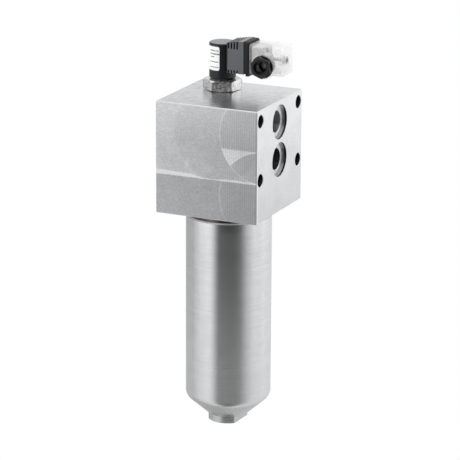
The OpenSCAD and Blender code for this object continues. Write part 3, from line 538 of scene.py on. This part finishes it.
    def passes(self, tree: Tree, way: Socket, dots: Socket, swing: float = 0.12,
               waver: float = 6.0) -> Socket:
        """Draws lines at the mill's feed, which waver and break up.

        Args:
            tree: The material's tree.
            way: The distance across the lines, mm.
            dots: A noise that breaks the lines up.
            swing: How strong the lines are against that noise.
            waver: How far that noise shifts them, in radians of their wave.

        Returns:
            The marks' height, about 0.5 in the middle.
        """
        phase = add(tree, "ShaderNodeMath", {0: self.times(tree, way, 2 * math.pi / self.feed),
                                             1: self.times(tree, dots, waver)}, operation="ADD")
        wave = add(tree, "ShaderNodeMath", {0: phase}, operation="SINE")
        wave = self.times(tree, wave, swing)
        return add(tree, "ShaderNodeMath", {0: wave, 1: dots}, operation="ADD")

    def front_tone(self, tree: Tree, place: Socket, axes: list) -> Socket:
        """Lightness of the milled front, zone by zone.

        Args:
            tree: The material's tree.
            place: The position in millimetres.
            axes: The position's three parts, mm.

        Returns:
            A factor for the colour.
        """
        r1, r2, r3 = (self.far(tree, place, spot) for spot in (self.upper, self.lower, self.third))
        in1 = self.inside(tree, r1, self.cutter_r)
        in2 = self.inside(tree, r2, self.cutter_r)
        low = self.inside(tree, axes[2], self.ledge, 0.3)
        high = add(tree, "ShaderNodeMath", {0: 1.0, 1: low}, operation="SUBTRACT")
        # painted shade and light: darker to the right, and brighter to the top
        tone = add(tree, "ShaderNodeMapRange", {"Value": axes[0], "From Min": self.rear_x, "From Max": 0.0,
                                                "To Min": 0.875, "To Max": 0.70})
        rise = add(tree, "ShaderNodeMapRange", {"Value": axes[2], "From Min": 2.0, "From Max": 32.0,
                                                "To Min": 1.0, "To Max": 1.20})
        tone = self.times(tree, tone, rise)
        # the pass under the ledge is duller, and two footprints over it are a little duller
        tone = self.mixed(tree, tone, low, 0.78)
        tone = self.mixed(tree, tone, self.times(tree, in1, high), 0.96)
        in3 = self.inside(tree, r3, self.cutter_r, 2.5)
        tone = self.mixed(tree, tone, self.times(tree, in3, high), 0.93)
        # brightest is the low part of the upper footprint, as far as the lower one doesn't cover it
        strip = self.times(tree, in1, self.inside(tree, axes[2], 0.6, 0.6), high,
                           add(tree, "ShaderNodeMath", {0: 1.0, 1: in2}, operation="SUBTRACT"))
        tone = self.mixed(tree, tone, strip, 1.5)
        # painted highlights where the rims of the footprints step: each by its distance, half its width in
        # mm, its zone and its lightness
        for radius, reach, mask, factor in (
                (r1, 0.55, high, 1.17), (r2, 0.6, in1, 1.16), (r2, 0.6, low, 1.36), (r3, 1.2, high, 1.025)):
            line = add(tree, "ShaderNodeMath", {0: radius, 1: self.cutter_r, 2: reach}, operation="COMPARE")
            tone = self.mixed(tree, tone, self.times(tree, line, mask), factor)
        # the painted highlight along the ledge, whose step faces up into the light: half its width in mm,
        # from the rear to the ports
        wide = along(tree, axes[0], [(self.rear_x, 2.0), (-62.0, 1.6), (-50.0, 0.4), (-38.0, 0.4),
                                     (-30.0, 1.1), (0.0, 0.9)])
        middle = add(tree, "ShaderNodeMath", {0: wide, 1: self.ledge}, operation="ADD")
        line = add(tree, "ShaderNodeMath", {0: axes[2], 1: middle, 2: wide}, operation="COMPARE")
        tone = self.mixed(tree, tone, line, 1.42)
        # a painted highlight along the edge under the top, and painted shade along the edge towards the
        # ports, each
        # 1.1 mm wide
        tone = self.mixed(tree, tone, self.over(tree, axes[2], self.top_z - 1.1), 1.35)
        tone = self.mixed(tree, tone, self.over(tree, axes[0], -1.1), 0.72)
        # a faint painted pool of light just over the ledge, towards the rear
        glow = self.times(tree, high, self.inside(tree, axes[2], self.ledge + 8.0, 8.0),
                          self.inside(tree, axes[0], -56.0, 8.0))
        tone = self.mixed(tree, tone, glow, 1.04)
        # two paler round patches, each by its middle, radius in mm and lightness
        for centre, reach, factor in (((-66.0, -16.0), 5.0, 1.14), ((-48.0, -18.0), 8.0, 1.10)):
            off = self.far(tree, place, centre)
            tone = self.mixed(tree, tone, self.inside(tree, off, reach / 2, reach / 2), factor)
        return tone

    def top_tone(self, tree: Tree, place: Socket, axes: list) -> Socket:
        """Lightness of the ground top: level on the left, and on the right rising from front to rear as
        painted light.

        Args:
            tree: The material's tree.
            place: The position in millimetres.
            axes: The position's three parts, mm.

        Returns:
            A factor for the colour.
        """
        deep = along(tree, axes[1], [(-44.0, 0.86), (0.0, 0.98), (40.0, 1.2)])
        left = along(tree, axes[0], [(self.rear_x, 1.0), (-52.0, 0.0)])
        tone = add(tree, "ShaderNodeMix", {FACTOR: left, FIRST: deep, SECOND: 0.98})
        # two faint lines from front to rear, 15 mm to either side of x = -30 and 1 mm wide
        off = self.far(tree, place, (-30.0, self.top_z))
        lines = add(tree, "ShaderNodeMath", {0: off, 1: 15.0, 2: 0.5}, operation="COMPARE")
        back = self.over(tree, axes[1], 16.0)
        tone = self.mixed(tree, tone, self.times(tree, lines, back), 1.05)
        stain = add(tree, "ShaderNodeTexNoise",
                    {"Vector": place, "Scale": 0.16, "Detail": 4.0, "Roughness": 0.6})
        pits = add(tree, "ShaderNodeTexNoise", {"Vector": place, "Scale": 0.55, "Detail": 2.0})
        return self.times(tree, tone, along(tree, stain, [(0.35, 0.93), (0.65, 1.06)]),
                          along(tree, pits, [(0.64, 1.0), (0.70, 0.84)]))

    def port_tone(self, tree: Tree, axes: list) -> Socket:
        """Lightness of the port face, which is painted duller towards its foot, as shade.

        Args:
            tree: The material's tree.
            axes: The position's three parts, mm.

        Returns:
            A factor for the colour.
        """
        tone = along(tree, axes[2], [(self.foot_z, 0.89), (30.0, 1.13)])
        # its front and top edges carry painted highlights
        for edge in (self.over(tree, axes[1], -45.3, below=True),
                     self.over(tree, axes[2], self.top_z - 1.2)):
            tone = self.mixed(tree, tone, edge, 1.25)
        return tone

    def bores(self, tree: Tree, axes: list) -> Socket:
        """Lightness of the drilled walls, painted darker than the faces as shade in the holes.

        Args:
            tree: The material's tree.
            axes: The position's three parts, mm.

        Returns:
            A factor for the colour.
        """
        y = add(tree, "ShaderNodeMath", {0: axes[1]}, operation="ABSOLUTE")
        z = add(tree, "ShaderNodeMath", {0: axes[2]}, operation="ABSOLUTE")
        folded = add(tree, "ShaderNodeCombineXYZ", {1: y, 2: z})
        spot = add(tree, "ShaderNodeCombineXYZ", {1: axes[1], 2: axes[2]})
        factor: Socket | float = 1.0
        # bolt holes, the lower port, and the two depths of the recess round each port, all in painted
        # shade: each wall by its place, radius, the depths between which it lies, and its lightness
        for where, centre, radius, shallow, deep, level in (
                (folded, self.bolt, 6.0, -0.7, self.hole_end, 0.25),
                (spot, (0, -self.port_z), 10.0, -3.7, self.hole_end, 0.4),
                (folded, (0, self.port_z), 15.6, -0.35, -1.9, 0.05),
                (folded, (0, self.port_z), 15.6, -1.9, -3.1, 0.5)):
            off = add(tree, "ShaderNodeVectorMath", {0: where, 1: (0, *centre)}, out="Value",
                      operation="DISTANCE")
            near = self.inside(tree, off, radius, 0.05)
            mask = self.times(tree, near, self.over(tree, axes[0], shallow, below=True),
                              self.over(tree, axes[0], deep))
            factor = self.mixed(tree, factor, mask, level)
        return factor


@dataclass(frozen=True)
class HousingFinish:
    """ABS housing of the sensor, moulded: a polished black barrel, and a side box with a coarse eroded
    grain that looks grey. Its faces that look up are painted lighter as light from above, and the floors of
    its slots are painted black as shade."""

    name: str = "Moulded_abs_housing"
    base: str = "#1b1c1f"
    grained: str = "#5f6166"  # the box's sides
    lit_top: str = "#818285"  # the faces that look up, painted lighter as light from above
    slots: str = "#030304"  # the floors of the box's slots, painted black as shade
    box_from: float = -53.2  # x where the box starts, mm
    middle: float = 18.0  # y of the box's middle, mm
    half: float = 11.0  # the box's sides lie farther out than this, and the floors of its slots don't, mm
    flat: float = 0.97  # a side's normal lies closer to Y than this, so that rounded corners stay black

    def material(self) -> bpy.types.Material:
        """Builds the housing's material.

        Returns:
            The Blender material.
        """
        material, tree, place = new_tree(self.name)
        axes = add(tree, "ShaderNodeSeparateXYZ", {0: place}).node.outputs
        normal = add(tree, "ShaderNodeNewGeometry", out="True Normal")
        normal = add(tree, "ShaderNodeSeparateXYZ", {0: normal}).node.outputs
        side = add(tree, "ShaderNodeMath", {0: normal[1]}, operation="ABSOLUTE")
        side = add(tree, "ShaderNodeMath", {0: side, 1: self.flat}, operation="GREATER_THAN")
        box = add(tree, "ShaderNodeMath", {0: axes[0], 1: self.box_from}, operation="GREATER_THAN")
        out = add(tree, "ShaderNodeMath", {0: axes[1], 1: self.middle}, operation="SUBTRACT")
        out = add(tree, "ShaderNodeMath", {0: out}, operation="ABSOLUTE")
        out = add(tree, "ShaderNodeMath", {0: out, 1: self.half}, operation="GREATER_THAN")
        side = add(tree, "ShaderNodeMath", {0: side, 1: box}, operation="MULTIPLY")
        inner = add(tree, "ShaderNodeMath", {0: 1.0, 1: out}, operation="SUBTRACT")
        slot = add(tree, "ShaderNodeMath", {0: side, 1: inner}, operation="MULTIPLY")
        side = add(tree, "ShaderNodeMath", {0: side, 1: out}, operation="MULTIPLY")
        lit_top = add(tree, "ShaderNodeMath", {0: normal[2], 1: SQUARE_ON}, operation="GREATER_THAN")
        panel = add(tree, "ShaderNodeMath", {0: side, 1: lit_top}, operation="MAXIMUM")
        grain = add(tree, "ShaderNodeTexNoise", {"Vector": place, "Scale": 1.6, "Detail": 3.0})
        tone = add(tree, "ShaderNodeMapRange", {"Value": grain, "From Min": 0.3, "From Max": 0.7,
                                                "To Min": 0.82, "To Max": 1.18})
        colour = linear(self.base)
        # the grained sides, then the painted light on faces that look up, then the painted shade on the
        # slots' floors
        for mask, shade in ((panel, self.grained), (lit_top, self.lit_top), (slot, self.slots)):
            colour = add(tree, "ShaderNodeMix",
                         {FACTOR: mask, FIRST_COLOUR: colour, SECOND_COLOUR: linear(shade)},
                         out=COLOUR_OUT, data_type="RGBA")
        colour = add(tree, "ShaderNodeVectorMath", {0: colour, "Scale": tone}, operation="SCALE")
        rough = add(tree, "ShaderNodeMix", {FACTOR: panel, FIRST: 0.33, SECOND: 0.5})
        bump = add(tree, "ShaderNodeBump", {"Height": grain, "Distance": 0.02 * MM, "Strength": 1.0})
        finish_tree(tree, add(tree, "ShaderNodeBsdfPrincipled",
                              {"Base Color": colour, "Roughness": rough, "Normal": bump}))
        return material


@dataclass(frozen=True)
class ClearPlugFinish:
    """Polycarbonate, injection-moulded in thin walls: milky clear, so that the terminal block shows as a
    soft shade."""

    name: str = "Moulded_milky_polycarbonate"
    base: str = "#fdfdfd"
    veil: tuple[float, float] = (0.22, 0.52)  # how much a wall hides, seen square on and edge on

    def material(self) -> bpy.types.Material:
        """Builds the plug's material.

        Returns:
            The Blender material.
        """
        material, tree, place = new_tree(self.name)
        flow = add(tree, "ShaderNodeVectorMath", {0: place, 1: (0.5, 0.08, 0.08)}, operation="MULTIPLY")
        flow = add(tree, "ShaderNodeTexNoise", {"Vector": flow, "Scale": 1.0, "Detail": 3.0})
        tone = add(tree, "ShaderNodeMapRange", {"Value": flow, "From Min": 0.3, "From Max": 0.7,
                                                "To Min": 0.95, "To Max": 1.0})
        colour = add(tree, "ShaderNodeVectorMath", {0: linear(self.base)[:3], "Scale": tone},
                     operation="SCALE")
        # the walls are thin: they veil what is behind them, and more so where they're seen edge on
        rim = add(tree, "ShaderNodeLayerWeight", {"Blend": 0.4}, out="Facing")
        veil = add(tree, "ShaderNodeMapRange", {"Value": rim, "From Min": 0.2, "From Max": 1.0,
                                                "To Min": self.veil[0], "To Max": self.veil[1]})
        bump = add(tree, "ShaderNodeBump", {"Height": flow, "Distance": 0.02 * MM, "Strength": 1.0})
        film = add(tree, "ShaderNodeBsdfPrincipled",
                   {"Base Color": colour, "Roughness": 0.2, "IOR": 1.58, "Normal": bump})
        lit = add(tree, "ShaderNodeBsdfTranslucent", {"Color": colour})
        film = add(tree, "ShaderNodeMixShader", {0: 0.45, 1: film, 2: lit})
        clear = add(tree, "ShaderNodeBsdfTransparent", {"Color": (1, 1, 1, 1)})
        finish_tree(tree, add(tree, "ShaderNodeMixShader", {0: veil, 1: clear, 2: film}))
        return material


@dataclass(frozen=True)
class LabelFinish:
    """White polyester film: satin, with plain ruled lines where a printed label would carry its data."""

    name: str = "White_polyester_label_film"
    film: str = "#fbfbfb"
    line: str = "#55565a"
    # each rule's height, two ends and half its thickness, as shares of the label's height and ruled width
    rules: tuple[tuple[float, float, float, float], ...] = (
        (0.83, 0.06, 0.80, 0.025), (0.69, 0.02, 0.80, 0.03), (0.57, 0.4, 0.72, 0.02),
        (0.36, 0.06, 0.84, 0.018), (0.14, 0.06, 0.84, 0.018))

    def material(self) -> bpy.types.Material:
        """Builds the label's material.

        Returns:
            The Blender material.
        """
        material, tree, place = new_tree(self.name)
        uv = add(tree, "ShaderNodeSeparateXYZ", {0: add(tree, "ShaderNodeTexCoord", out="UV")}).node.outputs
        rule: Socket | float = 0.0
        for middle, start, end, half in self.rules:
            row = add(tree, "ShaderNodeMath", {0: uv[1], 1: middle, 2: half}, operation="COMPARE")
            left = add(tree, "ShaderNodeMath", {0: uv[0], 1: start}, operation="GREATER_THAN")
            right = add(tree, "ShaderNodeMath", {0: uv[0], 1: end}, operation="LESS_THAN")
            for mask in (left, right):
                row = add(tree, "ShaderNodeMath", {0: row, 1: mask}, operation="MULTIPLY")
            rule = add(tree, "ShaderNodeMath", {0: rule, 1: row}, operation="MAXIMUM")
        ink = add(tree, "ShaderNodeTexNoise", {"Vector": place, "Scale": 1.1, "Detail": 2.0})
        ink = add(tree, "ShaderNodeMapRange", {"Value": ink, "From Min": 0.35, "From Max": 0.55,
                                               "To Min": 0.35, "To Max": 1.0})
        rule = add(tree, "ShaderNodeMath", {0: rule, 1: ink}, operation="MULTIPLY")
        colour = add(tree, "ShaderNodeMix",
                     {FACTOR: rule, FIRST_COLOUR: linear(self.film), SECOND_COLOUR: linear(self.line)},
                     out=COLOUR_OUT, data_type="RGBA")
        bump = add(tree, "ShaderNodeBump", {"Height": ink, "Distance": 0.004 * MM, "Strength": 1.0})
        finish_tree(tree, add(tree, "ShaderNodeBsdfPrincipled",
                              {"Base Color": colour, "Roughness": 0.35, "Normal": bump}))
        return material


AnyFinish = Finish | MilledBlockFinish | HousingFinish | ClearPlugFinish | LabelFinish


def dress(finish: AnyFinish, *nodes: str) -> None:
    """Gives CAD nodes their finish.

    Args:
        finish: Their finish.
        nodes: Names of the CAD nodes.
    """
    material = finish.material()
    for name in nodes:
        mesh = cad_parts[name].data
        mesh.materials.clear()
        mesh.materials.append(material)
        LOG.info("%s: %s", name, material.name)


def new_piece(name: str, mesh: bmesh.types.BMesh, finish: AnyFinish, body: str) -> bpy.types.Object:
    """Makes an object of a finished mesh, and lets it ride on its body.

    Args:
        name: The piece's name.
        mesh: The finished mesh, in metres in the row's frame.
        finish: Its finish.
        body: The CAD body that it moves with.

    Returns:
        The new object.
    """
    data = bpy.data.meshes.new(name)
    mesh.to_mesh(data)
    mesh.free()
    data.materials.append(finish.material())
    piece = bpy.data.objects.new(name, data)
    bpy.context.scene.collection.objects.link(piece)
    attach(piece, body)
    LOG.info("%s: %d faces, rides on %s", name, len(data.polygons), body)
    return piece


def wound(name: str, node: str) -> None:
    """Stands a spring in for a CAD one.

    Args:
        name: The new piece's name.
        node: The CAD spring, whose shape it keeps.
    """
    mesh = bmesh.new()
    mesh.from_mesh(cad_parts[node].data)
    for face in mesh.faces:
        face.smooth = True
    piece = new_piece(name, mesh, SPRING_WIRE, "head")
    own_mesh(piece)
    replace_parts(piece, node)


@dataclass
class Head:
    """The block, with the plugs and the valve that sit in it."""

    block: MilledBlockFinish = MilledBlockFinish()

    def build(self) -> None:
        """Dresses the block and what is in it."""
        dress(self.block, "head_block")
        dress(PHOSPHATED, "gallery_plug", "sense_plug")
        dress(TURNED_PART, "outlet_tube", "bypass_poppet")
        dress(SEAT_BRASS, "bypass_seat")
        wound("bypass_spring_wire", "bypass_spring")


@dataclass
class Bowl:
    """The steel bowl, its seals and its drain plug."""

    def build(self) -> None:
        """Dresses the bowl and its rings."""
        dress(TURNED_BOWL, "bowl")
        dress(PTFE, "bowl_rim_ring", "bowl_backup_ring")
        dress(NITRILE, "bowl_o_ring", "drain_o_ring")
        dress(PHOSPHATED, "drain_plug")


@dataclass
class Element:
    """The filter element inside the bowl."""

    def build(self) -> None:
        """Dresses the element."""
        dress(CAP_SHEET, "element_top_cap", "element_bottom_cap")
        dress(TURNED_PART, "element_core")
        dress(MEDIA, "element_media")
        dress(NITRILE, "element_o_ring")


@dataclass
class Indicator:
    """The clogging indicator: steel body, piston and the black housing with its label."""

    x: float = -63.0  # the housing's axis, mm
    y: float = 18.0
    radius: float = 11.8  # the housing's barrel, mm
    stand_off: float = 0.12  # from the barrel to the film's outer face, mm
    label_low: float = 54.45  # the label's lower and upper edge, mm
    label_high: float = 75.65
    label_from: float = -229.0  # its two ends, degrees round the axis
    label_to: float = -79.0
    ruled: float = 12.5  # width of the part with lines, from the end at label_to, mm
    corner: float = 1.7  # radius of the label's corners, mm
    across: int = 64  # faces round the label, and up it
    up: int = 20

    def build(self) -> None:
        """Dresses the indicator and lays its label on."""
        dress(PLATED_HEX, "indicator_body")
        dress(TURNED_PART, "indicator_piston")
        dress(NITRILE, "indicator_seal", "stem_o_ring")
        dress(SPRING_WIRE, "piston_stop_ring", "housing_snap_ring")
        wound("indicator_spring_wire", "indicator_spring")
        dress(FERRITE, "indicator_magnet")
        dress(SWITCH_GLASS, "reed_switch")
        dress(HousingFinish(), "indicator_housing")
        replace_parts(self.label(), "indicator_label")

    def label(self) -> bpy.types.Object:
        """Bends a film with rounded corners round the housing.

        Returns:
            The label.
        """
        mesh = bmesh.new()
        layer = mesh.loops.layers.uv.new("UV")
        reach = math.radians(self.label_to - self.label_from) * self.radius
        tall = self.label_high - self.label_low
        r = self.radius + self.stand_off
        grid = []
        for i in range(self.across + 1):
            s = reach * i / self.across
            edge = min(s, reach - s)
            cut = self.corner - math.sqrt(max(self.corner**2 - max(self.corner - edge, 0) ** 2, 0))
            angle = math.radians(self.label_from) + s / self.radius
            column = []
            for k in range(self.up + 1):
                z = self.label_low + cut + (tall - 2 * cut) * k / self.up
                spot = Vector((self.x + r * math.cos(angle), self.y + r * math.sin(angle), z)) * MM
                share = ((reach - s) / self.ruled, (z - self.label_low) / tall)
                column.append((mesh.verts.new(spot), share))
            grid.append(column)
        for i in range(self.across):
            for k in range(self.up):
                corners = [grid[i][k], grid[i + 1][k], grid[i + 1][k + 1], grid[i][k + 1]]
                face = mesh.faces.new([vertex for vertex, _ in corners])
                face.smooth = True
                for loop, (_, share) in zip(face.loops, corners):
                    loop[layer].uv = share
        return new_piece("label_film", mesh, LabelFinish(), "head")


@dataclass
class Connector:
    """The electrical connector: base plate, clear plug and cable gland."""

    def build(self) -> None:
        """Dresses the connector."""
        dress(POLYAMIDE_BASE, "connector_base")
        dress(TINNED, "contact_blades", "plug_sockets")
        dress(NITRILE, "connector_gasket", "screw_seal")
        dress(ClearPlugFinish(), "plug_housing")
        dress(TERMINAL_BLOCK, "plug_insert")
        dress(NICKELLED, "terminal_screws", "centre_screw")
        dress(BLACKENED, "gland_washer")
        dress(GROMMET, "gland_grommet")
        dress(POLYAMIDE_NUT, "gland_nut")


@dataclass
class Studio:
    """Pale floor, plain light and the camera at the photograph's place."""

    # the camera: degrees round the part from straight in front to the right, tilt down, and roll
    azimuth: float = 24.76
    pitch: float = 16.39
    roll: float = 0.27
    lens: float = 208.7  # mm, on a sensor of 36 mm
    sensor: float = 36.0
    eye: tuple[float, float, float] = (0.8979, -2.0485, 0.5770)  # the camera's place, metres
    # lamps: name, place in metres, side in metres and power in watts
    lamps: tuple[tuple[str, tuple[float, float, float], float, float], ...] = (
        ("Key_lamp", (-1.2, -1.2, 1.4), 1.2, 30.0), ("Fill_lamp", (1.5, -0.5, 0.9), 1.0, 14.0))
    aim: tuple[float, float, float] = (-0.05, 0.0, -0.05)  # what the lamps look at, metres
    floor_z: float = -0.85  # metres
    floor_r: float = 1.2
    # light round the room, fitted to the bowl's reflections: turn in degrees about the part, from the
    # camera towards its right, and the level there
    room: tuple[tuple[float, float], ...] = (
        (-180, 0.72), (-147, 0.44), (-110, 0.50), (-86, 0.78), (-66, 1.0), (-48, 0.92), (-38, 0.5),
        (-28, 0.10), (-13, 0.07), (3, 0.06), (19, 0.07), (31, 0.14), (45, 0.44), (60, 0.74), (78, 0.91),
        (100, 0.96), (130, 0.89), (150, 0.83), (180, 0.72))
    ceiling: float = 1.05  # level overhead
    ceiling_from: tuple[float, float] = (0.45, 0.8)  # sines of the heights between which it sets in

    def camera(self) -> None:
        """Sets up the camera. The fit took the image as 460 by 460."""
        turn, tilt, roll = (math.radians(angle) for angle in (self.azimuth, self.pitch, self.roll))
        back = Vector((math.sin(turn) * math.cos(tilt), -math.cos(turn) * math.cos(tilt), math.sin(tilt)))
        right = Vector((math.cos(turn), math.sin(turn), 0.0))
        up = back.cross(right)
        side = right * math.cos(roll) + up * math.sin(roll)
        rise = up * math.cos(roll) - right * math.sin(roll)
        data = bpy.data.cameras.new("Camera")
        data.lens, data.sensor_width, data.sensor_fit = self.lens, self.sensor, "HORIZONTAL"
        data.clip_start, data.clip_end = 0.1, 20.0
        eye = bpy.data.objects.new("Camera", data)
        eye.matrix_world = Matrix.Translation(self.eye) @ Matrix((side, rise, back)).transposed().to_4x4()
        bpy.context.scene.collection.objects.link(eye)
        bpy.context.scene.camera = eye

    def world(self) -> None:
        """Lights the scene from a pale room with one dark side, fixed in the room, which steel mirrors."""
        world = bpy.data.worlds.new("Room")
        bpy.context.scene.world = world
        world.use_nodes = True
        tree = world.node_tree
        tree.nodes.clear()
        ray = add(tree, "ShaderNodeTexCoord", out="Generated")
        level = add(tree, "ShaderNodeVectorMath", {0: ray, 1: (1, 1, 0)}, operation="MULTIPLY")
        level = add(tree, "ShaderNodeVectorMath", {0: level}, operation="NORMALIZE")
        a = math.radians(self.azimuth)
        toward, right = (
            add(tree, "ShaderNodeVectorMath", {0: level, 1: way}, out="Value", operation="DOT_PRODUCT")
            for way in ((math.sin(a), -math.cos(a), 0), (math.cos(a), math.sin(a), 0)))
        turn = add(tree, "ShaderNodeMath", {0: right, 1: toward}, operation="ARCTAN2")
        turn = add(tree, "ShaderNodeMath", {0: turn, 1: 180 / math.pi}, operation="MULTIPLY")
        shade = along(tree, turn, list(self.room))
        folds = add(tree, "ShaderNodeTexNoise", {"Vector": level, "Scale": 5.0, "Detail": 3.0})
        folds = add(tree, "ShaderNodeMapRange", {"Value": folds, "From Min": 0.3, "From Max": 0.7,
                                                 "To Min": 0.90, "To Max": 1.05})
        shade = add(tree, "ShaderNodeMath", {0: shade, 1: folds}, operation="MULTIPLY")
        steep = add(tree, "ShaderNodeSeparateXYZ", {0: ray}).node.outputs[2]
        lift = add(tree, "ShaderNodeMapRange",
                   {"Value": steep, "From Min": self.ceiling_from[0], "From Max": self.ceiling_from[1]},
                   interpolation_type="SMOOTHSTEP")
        shade = add(tree, "ShaderNodeMix", {FACTOR: lift, FIRST: shade, SECOND: self.ceiling})
        # the camera sees plain white, also through the clear plug
        path = add(tree, "ShaderNodeLightPath").node.outputs
        seen = add(tree, "ShaderNodeMath", {0: path["Is Camera Ray"], 1: path["Is Transmission Ray"]},
                   operation="MAXIMUM")
        shade = add(tree, "ShaderNodeMix", {FACTOR: seen, FIRST: shade, SECOND: 1.0})
        light = add(tree, "ShaderNodeBackground", {"Color": (1, 1, 1, 1), "Strength": shade})
        add(tree, "ShaderNodeOutputWorld", {"Surface": light})

    def lamp(self, name: str, spot: tuple, size: float, power: float) -> None:
        """Hangs a soft lamp that looks at the part's middle. Steel doesn't mirror it.

        Args:
            name: The lamp's name.
            spot: Its place in metres.
            size: Its side in metres.
            power: Its power in watts.
        """
        data = bpy.data.lights.new(name, "AREA")
        data.size, data.energy = size, power
        lamp = bpy.data.objects.new(name, data)
        lamp.location = spot
        lamp.rotation_mode = "QUATERNION"
        lamp.rotation_quaternion = (Vector(self.aim) - Vector(spot)).to_track_quat("-Z", "Y")
        lamp.visible_glossy = False
        bpy.context.scene.collection.objects.link(lamp)

    def floor(self) -> None:
        """Lays the pale floor, well under the part, which hangs from its bolts."""
        mesh = bmesh.new()
        bmesh.ops.create_circle(mesh, cap_ends=True, segments=96, radius=self.floor_r)
        data = bpy.data.meshes.new("Floor")
        mesh.to_mesh(data)
        mesh.free()
        material, tree, _ = new_tree("Pale_painted_floor")
        paint = add(tree, "ShaderNodeBsdfPrincipled", {"Base Color": linear("#f8f8f8"), "Roughness": 0.9})
        # from below the floor isn't seen, so that the part's underside is
        below = add(tree, "ShaderNodeNewGeometry", out="Incoming")
        below = add(tree, "ShaderNodeSeparateXYZ", {0: below}).node.outputs[2]
        below = add(tree, "ShaderNodeMath", {0: below, 1: 0.0}, operation="LESS_THAN")
        clear = add(tree, "ShaderNodeBsdfTransparent", {"Color": (1, 1, 1, 1)})
        finish_tree(tree, add(tree, "ShaderNodeMixShader", {0: below, 1: paint, 2: clear}))
        data.materials.append(material)
        floor = bpy.data.objects.new("Floor", data)
        floor.location = (BOWL_AXIS[0] * MM, 0.0, self.floor_z)
        floor.visible_glossy = False
        bpy.context.scene.collection.objects.link(floor)

    def build(self) -> None:
        """Builds the studio."""
        bpy.context.scene.view_settings.view_transform = "Standard"
        self.camera()
        self.world()
        for lamp in self.lamps:
            self.lamp(*lamp)
        self.floor()


def main() -> None:
    """Builds every sub-assembly in order."""
    logging.basicConfig(level=logging.INFO, format="%(message)s")
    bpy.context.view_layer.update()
    Studio().build()
    for part in (Head(), Bowl(), Element(), Indicator(), Connector()):
        part.build()


if __name__ == "__main__":
    main()
